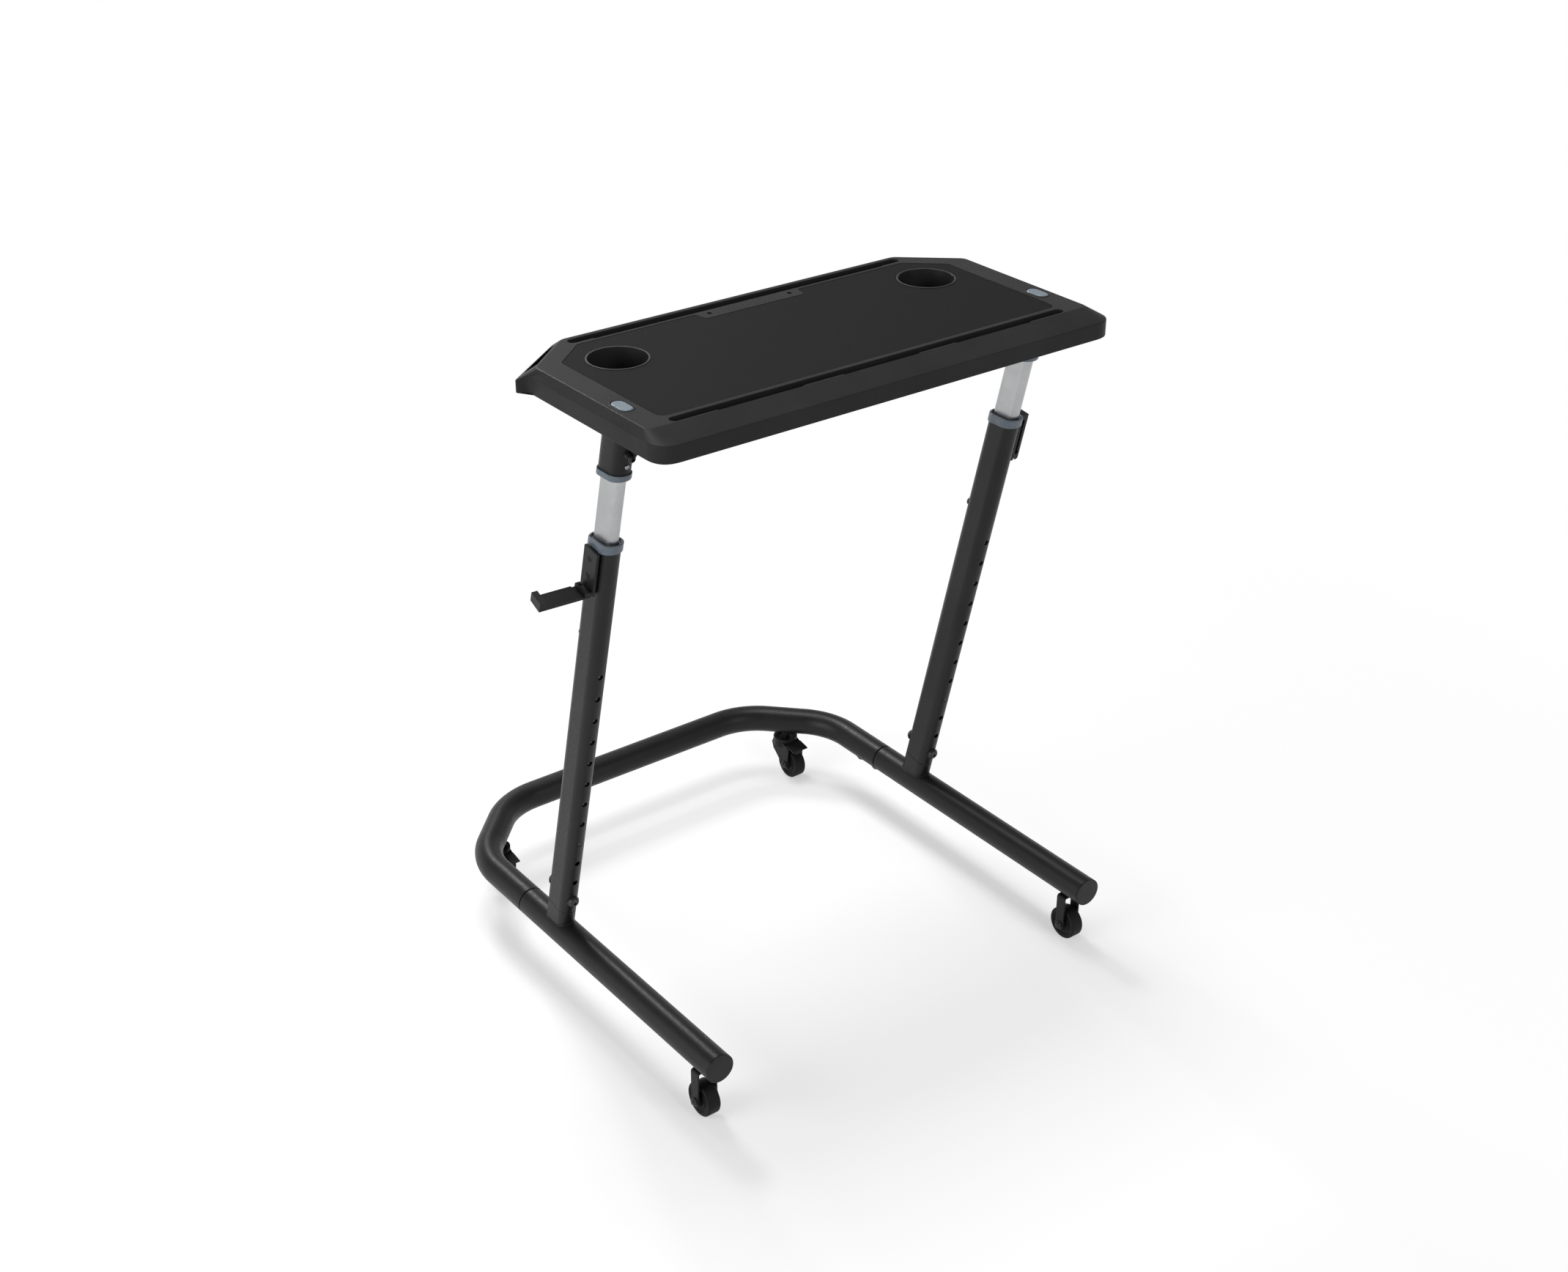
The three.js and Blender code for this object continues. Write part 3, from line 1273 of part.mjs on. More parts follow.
// The tabletop
const table = frame_at(0, tabletop_y, tabletop_height);
place(table, 'tabletop', tabletop(), moulded_top);
place(table, 'mat', mat(), mat_rubber);
place(table, 'underside_panel', underside_panel(), dark_plastic);
for (const { name, sign } of sides) {
  place(table, `cup_holder_${name}`, cup_holder(), dark_plastic).position.set(sign * cup_x, cup_y, 0);
  place(table, `button_${name}`, button(), button_grey).position.x = sign * rail_x;
}

// The desk stands on the floor with the middle of its bounding box over the origin
const bounds = new THREE.Box3().setFromObject(desk, true);
const centre = bounds.getCenter(new THREE.Vector3());
desk.position.set(-centre.x, -centre.y, -bounds.min.z);

export default desk;
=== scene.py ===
"""The height-adjustable desk as it looks: materials, soft edges, detailed pieces, light and camera.

Lengths are in metres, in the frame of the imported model. Forms are drawn in millimetres, in frames
of their own.
"""
import json
import math

import bpy
import bmesh
from mathutils import Matrix, Vector

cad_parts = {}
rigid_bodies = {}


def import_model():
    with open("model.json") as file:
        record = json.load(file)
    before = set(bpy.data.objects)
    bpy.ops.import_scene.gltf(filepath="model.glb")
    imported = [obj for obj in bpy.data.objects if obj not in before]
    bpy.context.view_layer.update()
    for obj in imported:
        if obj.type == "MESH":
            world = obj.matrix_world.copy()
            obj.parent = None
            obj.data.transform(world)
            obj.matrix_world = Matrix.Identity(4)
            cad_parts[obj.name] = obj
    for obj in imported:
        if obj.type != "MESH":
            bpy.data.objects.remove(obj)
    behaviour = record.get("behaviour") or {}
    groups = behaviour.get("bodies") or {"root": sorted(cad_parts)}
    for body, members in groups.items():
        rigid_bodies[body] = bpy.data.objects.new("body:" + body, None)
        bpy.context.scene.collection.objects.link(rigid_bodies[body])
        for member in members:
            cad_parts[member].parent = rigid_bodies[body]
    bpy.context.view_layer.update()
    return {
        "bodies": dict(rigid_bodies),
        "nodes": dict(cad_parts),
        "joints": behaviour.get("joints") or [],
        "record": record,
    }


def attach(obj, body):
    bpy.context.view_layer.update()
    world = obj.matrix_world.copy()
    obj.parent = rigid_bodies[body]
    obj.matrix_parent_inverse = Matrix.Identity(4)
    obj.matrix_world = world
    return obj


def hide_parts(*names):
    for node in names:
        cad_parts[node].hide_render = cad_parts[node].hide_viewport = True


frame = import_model()
nodes = frame["nodes"]
SIDES = ("left", "right")
MM = 0.001


# Camera, solved from the photograph

CAMERA_PLACE = Vector((-1.66704, -2.30800, 2.04110))
CAMERA_AZIMUTH = math.radians(-37.197)
CAMERA_ELEVATION = math.radians(28.312)
CAMERA_ROLL = math.radians(0.145)
CAMERA_LENS = 49.866


def make_camera():
    data = bpy.data.cameras.new("camera")
    data.sensor_width = 36.0
    data.lens = CAMERA_LENS
    data.clip_start = 0.05
    data.clip_end = 200.0
    camera = bpy.data.objects.new("camera", data)
    bpy.context.scene.collection.objects.link(camera)
    level = math.cos(CAMERA_ELEVATION)
    back = Vector((
        math.sin(CAMERA_AZIMUTH) * level,
        -math.cos(CAMERA_AZIMUTH) * level,
        math.sin(CAMERA_ELEVATION),
    ))
    flat_right = Vector((0, 0, 1)).cross(back).normalized()
    flat_up = back.cross(flat_right)
    right = math.cos(CAMERA_ROLL) * flat_right + math.sin(CAMERA_ROLL) * flat_up
    up = back.cross(right)
    camera.matrix_world = Matrix.Translation(CAMERA_PLACE) @ Matrix((right, up, back)).transposed().to_4x4()
    bpy.context.scene.camera = camera


# Node materials

class Shade:
    """A small helper that builds one Principled material from nodes."""

    def __init__(self, name, roughness=0.5, metallic=0.0, specular=0.5):
        self.material = bpy.data.materials.new(name)
        self.material.use_nodes = True
        self.tree = self.material.node_tree
        self.shader = self.tree.nodes["Principled BSDF"]
        self.shader.inputs["Roughness"].default_value = roughness
        self.shader.inputs["Metallic"].default_value = metallic
        self.shader.inputs["Specular IOR Level"].default_value = specular
        self.coordinates = self.tree.nodes.new("ShaderNodeTexCoord").outputs["Object"]
        self.bump_normal = None

    def node(self, kind, **settings):
        made = self.tree.nodes.new(kind)
        for key, value in settings.items():
            setattr(made, key, value)
        return made

    def link(self, output, socket):
        self.tree.links.new(output, socket)

    def noise(self, scale, detail, stretch=(1, 1, 1)):
        mapping = self.node("ShaderNodeMapping")
        mapping.inputs["Scale"].default_value = stretch
        self.link(self.coordinates, mapping.inputs["Vector"])
        texture = self.node("ShaderNodeTexNoise")
        texture.inputs["Scale"].default_value = scale
        texture.inputs["Detail"].default_value = detail
        texture.inputs["Roughness"].default_value = 0.55
        self.link(mapping.outputs["Vector"], texture.inputs["Vector"])
        return texture.outputs["Fac"]

    def cells(self, scale):
        texture = self.node("ShaderNodeTexVoronoi")
        texture.inputs["Scale"].default_value = scale
        self.link(self.coordinates, texture.inputs["Vector"])
        return texture.outputs["Distance"]

    def ramp(self, value, low, high, from_low=0.35, from_high=0.65):
        spread = self.node("ShaderNodeMapRange")
        spread.inputs["From Min"].default_value = from_low
        spread.inputs["From Max"].default_value = from_high
        spread.inputs["To Min"].default_value = low
        spread.inputs["To Max"].default_value = high
        self.link(value, spread.inputs["Value"])
        return spread.outputs["Result"]

    def blend(self, value, first, second, from_low=0.35, from_high=0.65):
        mix = self.node("ShaderNodeMix", data_type="RGBA")
        mix.inputs["A"].default_value = (*first, 1)
        mix.inputs["B"].default_value = (*second, 1)
        self.link(self.ramp(value, 0, 1, from_low, from_high), mix.inputs["Factor"])
        return mix.outputs["Result"]

    def colour(self, output):
        self.link(output, self.shader.inputs["Base Color"])

    def rough(self, value, low, high):
        self.link(self.ramp(value, low, high), self.shader.inputs["Roughness"])

    def bump(self, height, distance):
        bump = self.node("ShaderNodeBump")
        bump.inputs["Distance"].default_value = distance
        bump.inputs["Strength"].default_value = 1.0
        self.link(height, bump.inputs["Height"])
        if self.bump_normal is not None:
            self.link(self.bump_normal, bump.inputs["Normal"])
        self.bump_normal = bump.outputs["Normal"]
        self.link(self.bump_normal, self.shader.inputs["Normal"])


def grey(value):
    """Linear grey from an sRGB value of 0 to 255."""
    share = value / 255
    return ((share + 0.055) / 1.055) ** 2.4 if share > 0.04045 else share / 12.92


def tinted(red, green, blue):
    return (grey(red), grey(green), grey(blue))


def grained(name, dark, light, grain, depth, roughness, specular):
    """Moulded plastic or powder coat: a fine grain, and a slow drift between two sRGB tones."""
    shade = Shade(name, specular=specular)
    fine = shade.noise(grain, detail=3.0)
    slow = shade.noise(14.0, detail=3.0)
    shade.colour(shade.blend(slow, tinted(*dark), tinted(*light)))
    shade.rough(shade.noise(grain * 0.35, detail=2.0), *roughness)
    shade.bump(slow, 0.00006)
    shade.bump(fine, depth)
    return shade.material


def mat_material():
    """Rubber with a fine pebbled and flecked face."""
    shade = Shade("mat_rubber", specular=0.06)
    pebbles = shade.cells(700.0)
    fleck = shade.noise(620.0, detail=3.0)
    shade.colour(shade.blend(fleck, tinted(18, 18, 19), tinted(34, 34, 35), 0.3, 0.7))
    shade.rough(fleck, 0.64, 0.8)
    shade.bump(pebbles, 0.00012)
    shade.bump(fleck, 0.00010)
    return shade.material


def drawn_metal(name, dark, light, roughness, stretch, metallic=1.0):
    """Metal with fine lines along the way it was drawn."""
    shade = Shade(name, metallic=metallic)
    lines = shade.noise(1800.0, detail=4.0, stretch=stretch)
    blotch = shade.noise(30.0, detail=3.0)
    shade.colour(shade.blend(blotch, dark, light))
    shade.rough(lines, *roughness)
    shade.bump(lines, 0.000012)
    return shade.material


def tyre_material():
    shade = Shade("tyre", specular=0.16)
    scuff = shade.noise(160.0, detail=5.0)
    fine = shade.noise(2600.0, detail=2.0)
    shade.colour(shade.blend(scuff, tinted(15, 15, 16), tinted(23, 23, 24)))
    shade.rough(scuff, 0.48, 0.66)
    shade.bump(fine, 0.00002)
    return shade.material


# Name, darker and lighter tone, grain per metre and its depth, roughness, specular level
TOP = grained("moulded_top", (40, 40, 41), (44, 44, 45), 900.0, 0.00008, (0.37, 0.47), 0.06)
MAT = mat_material()
CUP = grained("cup_plastic", (32, 32, 33), (36, 36, 37), 1500.0, 0.00003, (0.38, 0.5), 0.3)
BLACK = grained("black_plastic", (24, 24, 25), (29, 29, 30), 1600.0, 0.00003, (0.36, 0.5), 0.16)
COLLAR = grained("collar_plastic", (76, 86, 96), (84, 94, 104), 1500.0, 0.00003, (0.34, 0.46), 0.5)
BUTTON = grained("button_plastic", (105, 118, 128), (112, 125, 135), 1700.0, 0.00002, (0.3, 0.4), 0.5)
COAT = grained("powder_coat", (23, 23, 24), (27, 27, 28), 720.0, 0.00007, (0.36, 0.45), 0.22)
CAP = grained("cap_plastic", (34, 34, 35), (39, 39, 40), 1400.0, 0.00003, (0.4, 0.5), 0.2)
# The spigot's near-black tones are painted shade: the dark of the gap between the rail and the loop.
SPIGOT_SHADE = grained("spigot_painted_shade", (7, 7, 8), (10, 10, 11), 900.0, 0.00003, (0.6, 0.7), 0.05)
TYRE = tyre_material()
SILVER = drawn_metal(
    "anodised_tube", (0.40, 0.405, 0.41), (0.44, 0.445, 0.45), (0.30, 0.42), (1, 0.03, 0.03))
STEEL = drawn_metal(
    "bright_steel", (0.19, 0.20, 0.22), (0.25, 0.26, 0.28), (0.24, 0.36), (0.2, 1, 1))
BOLT = drawn_metal(
    "blackened_steel", (0.024, 0.024, 0.025), (0.04, 0.04, 0.042), (0.28, 0.38), (1, 1, 1), 0.6)

# Material, and width of the softened edges in millimetres, of the CAD nodes that stay
CAD_LOOKS = {
    "underside_panel": (TOP, 0.4), "button": (BUTTON, 0.5), "release_rod": (STEEL, 0.3),
    "top_bracket": (BLACK, 0.8), "leg_shoe": (BLACK, 0.3), "top_bolt": (BOLT, 0.4),
    "guide_screw": (BOLT, 0.6), "hook_plate": (BLACK, 0.6), "hook_arm": (BLACK, 0.7),
    "hook_pin": (BOLT, 0.3), "caster_stem": (BOLT, 0.3), "caster_fork": (BLACK, 0.6),
    "brake_pedal": (BLACK, 0.5),
}

SHARP_ANGLE = math.radians(41)


def smooth_shading(mesh):
    """Smooth all over, apart from the edges where faces meet at more than the sharp angle."""
    for name in ("custom_normal", "sharp_edge", "sharp_face"):
        if name in mesh.attributes:
            mesh.attributes.remove(mesh.attributes[name])
    for polygon in mesh.polygons:
        polygon.use_smooth = True
    mesh.set_sharp_from_angle(angle=SHARP_ANGLE)


def kind_of(name):
    """A node's name without its side."""
    for side in SIDES:
        if name.endswith("_" + side):
            return name[: -len(side) - 1]
    return name


def soften(piece, width):
    """Merges the flat triangles, rounds the edges and keeps the flats flat in the shading."""
    smooth_shading(piece.data)
    piece.data.attributes.remove(piece.data.attributes["sharp_edge"])
    weld = piece.modifiers.new("weld", "WELD")
    weld.merge_threshold = 0.00001
    flats = piece.modifiers.new("flats", "DECIMATE")
    flats.decimate_type = "DISSOLVE"
    flats.angle_limit = math.radians(0.4)
    edges = piece.modifiers.new("edges", "BEVEL")
    edges.width = width * MM
    edges.segments = 3
    edges.limit_method = "ANGLE"
    edges.angle_limit = math.radians(32)
    edges.use_clamp_overlap = True
    edges.miter_outer = "MITER_ARC"
    even_normals(piece)


def even_normals(piece):
    normals = piece.modifiers.new("normals", "WEIGHTED_NORMAL")
    normals.keep_sharp = True
    normals.weight = 80


def dress_cad_nodes():
    for name, piece in nodes.items():
        if piece.hide_render:
            continue
        material, width = CAD_LOOKS[kind_of(name)]
        piece.data.materials.clear()
        piece.data.materials.append(material)
        soften(piece, width)


# Sizes, in millimetres. Stations are heights along a leg, from the rail's middle.

RAIL_X = 348.8
RAIL_HEIGHT = 102.1
RAIL_RADIUS = 22.2
RAIL_INNER = 20.4
RAIL_REACH = 413.6
SEAM_Y = 79.8
SEAM_GAP = 2.3
LEAN = math.radians(13.84)
LEG_HALF_WIDTH, LEG_HALF_DEPTH, LEG_WALL = 14.6, 25.5, 2.0
LEG_LOW, LEG_TOP = 53.3, 733.5
INNER_HALF_WIDTH, INNER_HALF_DEPTH, INNER_WALL = 8.5, 22.0, 1.8
INNER_LOW, INNER_HIGH = 211.3, 902.1
HOLE_STATIONS = [117.0 + 40.0 * index for index in range(11)]
HOLE_RADIUS = 4.3
LOCK_STATION = 197.0
LEG_BOLT_STATION = 78.0
HOOK_SCREW_STATIONS = (684.2, 711.2)
RAIL_BOLT_PLACES = (("front", 97.8), ("rear", 137.8))
AXLE_HEIGHT = 26.0
CUP_X, CUP_Y = 263.1, 140.2

# Frames, in metres

CENTRE_X = 0.030757
BASE_Y = 0.0273
FRONT_AXLE_Y = -0.3488
CASTER_X, CASTER_Y = 0.2926, 0.29035
TABLE_PLACE = (CENTRE_X, -0.198539, 1.01879)
SIGN = {"left": -1, "right": 1}


def shifted(x, y, z):
    return Matrix.Translation((x, y, z))


def turned(degrees, axis):
    return Matrix.Rotation(math.radians(degrees), 4, axis)


SCALE = Matrix.Scale(MM, 4)
BASE_FRAME = shifted(CENTRE_X, BASE_Y, RAIL_HEIGHT * MM) @ SCALE
TABLE_FRAME = shifted(*TABLE_PLACE) @ SCALE


def rail_frame(side):
    """At the leg's foot, on the middle line of the rail."""
    return BASE_FRAME @ shifted(SIGN[side] * RAIL_X, 0, 0)


def leg_frame(side):
    """At the leg's foot, with Z along the leg."""
    foot = shifted(CENTRE_X + SIGN[side] * RAIL_X * MM, BASE_Y, RAIL_HEIGHT * MM)
    return foot @ Matrix.Rotation(LEAN, 4, "X") @ SCALE


# Mesh building


def circle(radius, steps):
    angles = [math.tau * step / steps for step in range(steps)]
    return [(radius * math.cos(angle), radius * math.sin(angle)) for angle in angles]


def oval(half_width, half_depth, steps=20, notch=0.0):
    """A flat oval: two half circles joined by straight sides, with an optional line where they meet."""
    straight = half_depth - half_width
    points = []
    for end in (1, -1):
        for step in range(steps + 1):
            angle = math.pi * step / steps
            points.append((
                end * half_width * math.cos(angle), end * (straight + half_width * math.sin(angle))))
        if notch:
            side = -end * half_width
            points.append((side + end * notch, end * (straight - notch)))
            points.append((side, end * (straight - notch * 2)))
    return points


def curve_point(start, corner, end, share):
    """A point on the curve that rounds a corner."""
    return start * (1 - share) ** 2 + corner * 2 * share * (1 - share) + end * share ** 2


def rounded(profile, reach, steps=4):
    """Rounds the corners of an open profile of (radius, height) points."""
    points = [Vector(point) for point in profile]
    result = [points[0]]
    for before, corner, after in zip(points, points[1:], points[2:]):
        back, ahead = before - corner, after - corner
        near = min(reach, back.length * 0.49, ahead.length * 0.49)
        start, end = corner + back.normalized() * near, corner + ahead.normalized() * near
        for step in range(steps + 1):
            share = step / steps
            result.append(curve_point(start, corner, end, share))
    result.append(points[-1])
    return [tuple(point) for point in result]


class Form:
    """One mesh, drawn from turned, swept and extruded shapes."""

    def __init__(self):
        self.mesh = bmesh.new()

    def ring(self, points, frame):
        return [self.mesh.verts.new(frame @ Vector(point)) for point in points]

    def join(self, first, second):
        count = len(first)
        for index in range(count):
            following = (index + 1) % count
            self.mesh.faces.new((first[index], first[following], second[following], second[index]))

    def fan(self, ring, tip):
        for index in range(len(ring)):
            self.mesh.faces.new((ring[index], ring[(index + 1) % len(ring)], tip))

    def lathe(self, profile, steps, frame=Matrix(), closed=False):
        """Turns (radius, height) points round the frame's Z axis."""
        rings = []
        for radius, height in profile:
            if radius < 1e-6:
                rings.append(self.mesh.verts.new(frame @ Vector((0, 0, height))))
            else:
                rings.append(self.ring([(x, y, height) for x, y in circle(radius, steps)], frame))
        pairs = list(zip(rings, rings[1:]))
        if closed:
            pairs.append((rings[-1], rings[0]))
        for first, second in pairs:
            if isinstance(first, list) and isinstance(second, list):
                self.join(first, second)
            elif isinstance(first, list):
                self.fan(first, second)
            elif isinstance(second, list):
                self.fan(second, first)

    def loft(self, sections, frame=Matrix(), closed=False):
        """Joins rings of equal count. Open lofts get flat ends."""
        rings = [self.ring(section, frame) for section in sections]
        for first, second in zip(rings, rings[1:]):
            self.join(first, second)
        if closed:
            self.join(rings[-1], rings[0])
        else:
            self.mesh.faces.new(rings[0])
            self.mesh.faces.new(rings[-1])

    def block(self, low, high, frame=Matrix()):
        corners = [(low[0], low[1]), (high[0], low[1]), (high[0], high[1]), (low[0], high[1])]
        self.prism(corners, low[2], high[2], frame)

    def prism(self, outline, low, high, frame=Matrix()):
        """A flat outline (x, y), drawn out between two heights."""
        self.loft([[(x, y, z) for x, y in outline] for z in (low, high)], frame)

    def object(self, name):
        bmesh.ops.recalc_face_normals(self.mesh, faces=self.mesh.faces)
        data = bpy.data.meshes.new(name)
        self.mesh.to_mesh(data)
        self.mesh.free()
        made = bpy.data.objects.new(name, data)
        bpy.context.scene.collection.objects.link(made)
        smooth_shading(data)
        return made


def carved(body, cutter):
    """Cuts one object out of another and removes the cutter."""
    step = body.modifiers.new("cut", "BOOLEAN")
    step.operation = "DIFFERENCE"
    step.solver = "EXACT"
    step.object = cutter
    bpy.context.view_layer.update()
    result = bpy.data.meshes.new_from_object(body.evaluated_get(bpy.context.evaluated_depsgraph_get()))
    body.modifiers.clear()
    body.data = result
    bpy.data.objects.remove(cutter)
    smooth_shading(result)
    return body


def finished(made, body, material, *replaced, edge=0.0, angle=35):
    """Gives a piece its material and soft edges, and says what it rides on and stands for."""
    made.data.materials.clear()
    made.data.materials.append(material)
    if edge:
        edges = made.modifiers.new("edges", "BEVEL")
        edges.width = edge * MM
        edges.segments = 3
        edges.limit_method = "ANGLE"
        edges.angle_limit = math.radians(angle)
        edges.use_clamp_overlap = True
    even_normals(made)
    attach(made, body)
    if replaced:
        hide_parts(*replaced)


# Base tubes

def loop_stops(steps=20):
    """Points and headings along the bent loop's centre line, in the base's frame."""
    corners = [Vector(point) for point in (
        (RAIL_X, SEAM_Y + SEAM_GAP), (RAIL_X, 225.5), (236.4, 339.6),
        (-236.4, 339.6), (-RAIL_X, 225.5), (-RAIL_X, SEAM_Y + SEAM_GAP))]
    radius = 114.6
    stops = [(corners[0], (corners[1] - corners[0]).normalized())]
    for before, corner, after in zip(corners, corners[1:], corners[2:]):
        heading, following = (corner - before).normalized(), (after - corner).normalized()
        sweep = math.atan2(heading.cross(following), heading.dot(following))
        start = corner - heading * radius * math.tan(abs(sweep) / 2)
        middle = start + Vector((-heading.y, heading.x)) * math.copysign(radius, sweep)
        for step in range(steps + 1):
            turn = Matrix.Rotation(sweep * step / steps, 2)
            stops.append((middle + turn @ (start - middle), turn @ heading))
    stops.append((corners[-1], (corners[-1] - corners[-2]).normalized()))
    return stops


def tube_rings(stops, radius, steps=56):
    return [[(point.x - heading.y * x, point.y + heading.x * x, z) for x, z in circle(radius, steps)]
            for point, heading in stops]


def make_rear_loop():
    """The bent tube, with its ends rounded where they meet the rails."""
    stops = loop_stops()
    first, last = stops[0], stops[-1]

    def along(stop, distance):
        return stop[0] + stop[1] * distance, stop[1]

    outer = tube_rings([first], RAIL_RADIUS - 0.9)
    outer += tube_rings([along(first, 0.35)], RAIL_RADIUS - 0.3)
    outer += tube_rings([along(first, 1.1)] + stops[1:-1] + [along(last, -1.1)], RAIL_RADIUS)
    outer += tube_rings([along(last, -0.35)], RAIL_RADIUS - 0.3)
    outer += tube_rings([last], RAIL_RADIUS - 0.9)
    inner = tube_rings(reversed(stops), RAIL_INNER)
    form = Form()
    form.loft(outer + inner, BASE_FRAME, closed=True)
    finished(form.object("rear_loop_tube"), "base", COAT, "rear_loop")


def weld_bead(side, radius=1.2, steps=72):
    """The bead where the leg's stub meets the round rail."""
    axis = Vector((0, -math.sin(LEAN), math.cos(LEAN)))
    depth_way = Vector((0, math.cos(LEAN), math.sin(LEAN)))
    path = []
    for x, y in oval(LEG_HALF_WIDTH, LEG_HALF_DEPTH, steps // 2):
        drop = math.sqrt(RAIL_RADIUS ** 2 - x ** 2)
        station = (drop - y * depth_way.z) / axis.z
        path.append(Vector((x, 0, 0)) + depth_way * y + axis * station)
    path = [point for index, point in enumerate(path) if (point - path[index - 1]).length > 0.05]
    rings = []
    for index, point in enumerate(path):
        along = (path[(index + 1) % len(path)] - path[index - 1]).normalized()
        outwards = Vector((point.x, point.y, 0)).normalized()
        across = along.cross(outwards).normalized()
        outwards = across.cross(along)
        swell = radius * (1 + 0.06 * math.sin(index * 1.9))
        rings.append([point + (outwards * c + across * s) * swell for c, s in circle(1.0, 10)])
    form = Form()
    form.loft(rings, rail_frame(side), closed=True)
    return form


def make_side_rail(side):
    """The rail, its spigot painted near black as shade in the gap to the loop, and the leg's stub with its
    weld.
    """
    along = rail_frame(side) @ turned(-90, "X")
    outline = rounded([
        (RAIL_INNER, -RAIL_REACH), (RAIL_RADIUS, -RAIL_REACH), (RAIL_RADIUS, SEAM_Y),
        (RAIL_INNER, SEAM_Y), (RAIL_INNER, -RAIL_REACH + 0.5),
    ], 0.7, 3)
    form = Form()
    form.lathe(outline, 56, along, closed=True)
    finished(form.object(f"side_rail_tube_{side}"), "base", COAT, f"side_rail_{side}")
    spigot = Form()
    spigot.lathe([
        (20.1, SEAM_Y - 8), (20.1, SEAM_Y + 78), (18.3, SEAM_Y + 78), (18.3, SEAM_Y - 8),
    ], 56, along, closed=True)
    # The spigot's near-black material is painted shade for the gap to the loop.
    finished(spigot.object(f"rail_spigot_{side}"), "base", SPIGOT_SHADE)
    stub = Form()
    rings = ((0, 14.0), (0, LEG_LOW - 0.8), (0.5, LEG_LOW - 0.3))
    stub.loft([[(x, y, station) for x, y in oval(LEG_HALF_WIDTH - inset, LEG_HALF_DEPTH - inset)]
               for inset, station in rings], leg_frame(side))
    finished(stub.object(f"leg_stub_{side}"), "base", COAT)
    finished(weld_bead(side).object(f"weld_bead_{side}"), "base", COAT)


def make_outer_leg(side):
    """The black tube with its holes, cut level at the top."""
    place = leg_frame(side)
    slope = math.tan(LEAN)
    outer = oval(LEG_HALF_WIDTH, LEG_HALF_DEPTH)
    bore = oval(LEG_HALF_WIDTH - LEG_WALL, LEG_HALF_DEPTH - LEG_WALL)
    form = Form()
    form.loft([
        [(x, y, LEG_LOW) for x, y in bore],
        [(x, y, LEG_LOW) for x, y in oval(LEG_HALF_WIDTH - 0.5, LEG_HALF_DEPTH - 0.5)],
        [(x, y, LEG_LOW + 0.5) for x, y in outer],
        [(x, y, LEG_TOP - y * slope) for x, y in outer],
        [(x, y, LEG_TOP - y * slope) for x, y in bore],
    ], place, closed=True)
    leg = form.object(f"outer_leg_tube_{side}")
    cutters = Form()
    for station in HOLE_STATIONS:
        hole = place @ shifted(0, 0, station) @ turned(90, "X")
        cutters.lathe([(0, 4), (HOLE_RADIUS, 4), (HOLE_RADIUS, 40), (0, 40)], 28, hole)
    leg = carved(leg, cutters.object("cutter"))
    finished(leg, "base", COAT, f"outer_leg_{side}", edge=0.4, angle=50)


def make_inner_leg(side):
    """The silver tube, with the drawn line where its flats meet its round edges."""
    outer = oval(INNER_HALF_WIDTH, INNER_HALF_DEPTH, 20, 0.28)
    bore = oval(INNER_HALF_WIDTH - INNER_WALL, INNER_HALF_DEPTH - INNER_WALL, 20, 0.02)
    rings = ((bore, INNER_LOW), (outer, INNER_LOW), (outer, INNER_HIGH), (bore, INNER_HIGH))
    form = Form()
    form.loft([[(x, y, station) for x, y in outline] for outline, station in rings],
              leg_frame(side), closed=True)
    finished(form.object(f"inner_leg_tube_{side}"), "desk", SILVER, f"inner_leg_{side}")


def make_lock_pin(side):
    """The pin's round nose fills the leg hole that holds the top."""
    place = leg_frame(side) @ shifted(0, 0, LOCK_STATION) @ turned(90, "X")
    form = Form()
    form.lathe(rounded([(0, 9.5), (3.9, 9.5), (3.9, 25.0), (0, 25.2)], 1.2), 28, place)
    finished(form.object(f"lock_pin_nose_{side}"), f"lock_pin_{side}", BOLT, f"lock_pin_{side}")


def make_end_cap(side):
    place = rail_frame(side) @ turned(90, "X")
    outer = RAIL_REACH + 2.8
    form = Form()
    form.lathe(rounded([
        (0, RAIL_REACH - 12), (RAIL_INNER - 0.3, RAIL_REACH - 12), (RAIL_INNER - 0.3, RAIL_REACH + 0.3),
        (RAIL_RADIUS, RAIL_REACH + 0.3), (RAIL_RADIUS, outer - 0.4), (0, outer),
    ], 1.0), 56, place)
    finished(form.object(f"end_cap_disc_{side}"), "base", CAP, f"rail_end_cap_{side}")


# Casters

# One half of a wheel's section, as (radius, distance from the middle)
WHEEL_HALF = [
    (26.0, 0.0), (26.0, 8.9), (24.6, 10.4), (20.9, 10.6), (20.3, 9.8), (19.2, 9.8), (18.6, 8.6),
    (14.2, 8.2), (13.6, 9.7), (11.6, 9.8), (11.0, 8.6), (8.6, 8.6), (8.5, 13.2), (8.2, 13.4), (3.3, 13.4),
]


def wheel_form(place):
    half = rounded(WHEEL_HALF, 0.5, 3)
    profile = [(radius, -height) for radius, height in reversed(half)] + half[1:]
    form = Form()
    form.lathe(profile, 64, place @ turned(90, "Y"), closed=True)
    return form


def axle_form(place):
    form = Form()
    form.lathe(rounded([
        (0, -21.8), (2.6, -21.8), (2.8, -20.9), (4.4, -20.9), (5.0, -18.3), (6.2, -18.1), (6.2, -16.7),
        (3.0, -16.7), (3.0, 16.7), (5.6, 16.7), (5.6, 17.7), (4.6, 17.9), (4.6, 20.6), (0, 20.6),
    ], 0.4), 32, place @ turned(90, "Y"))
    return form


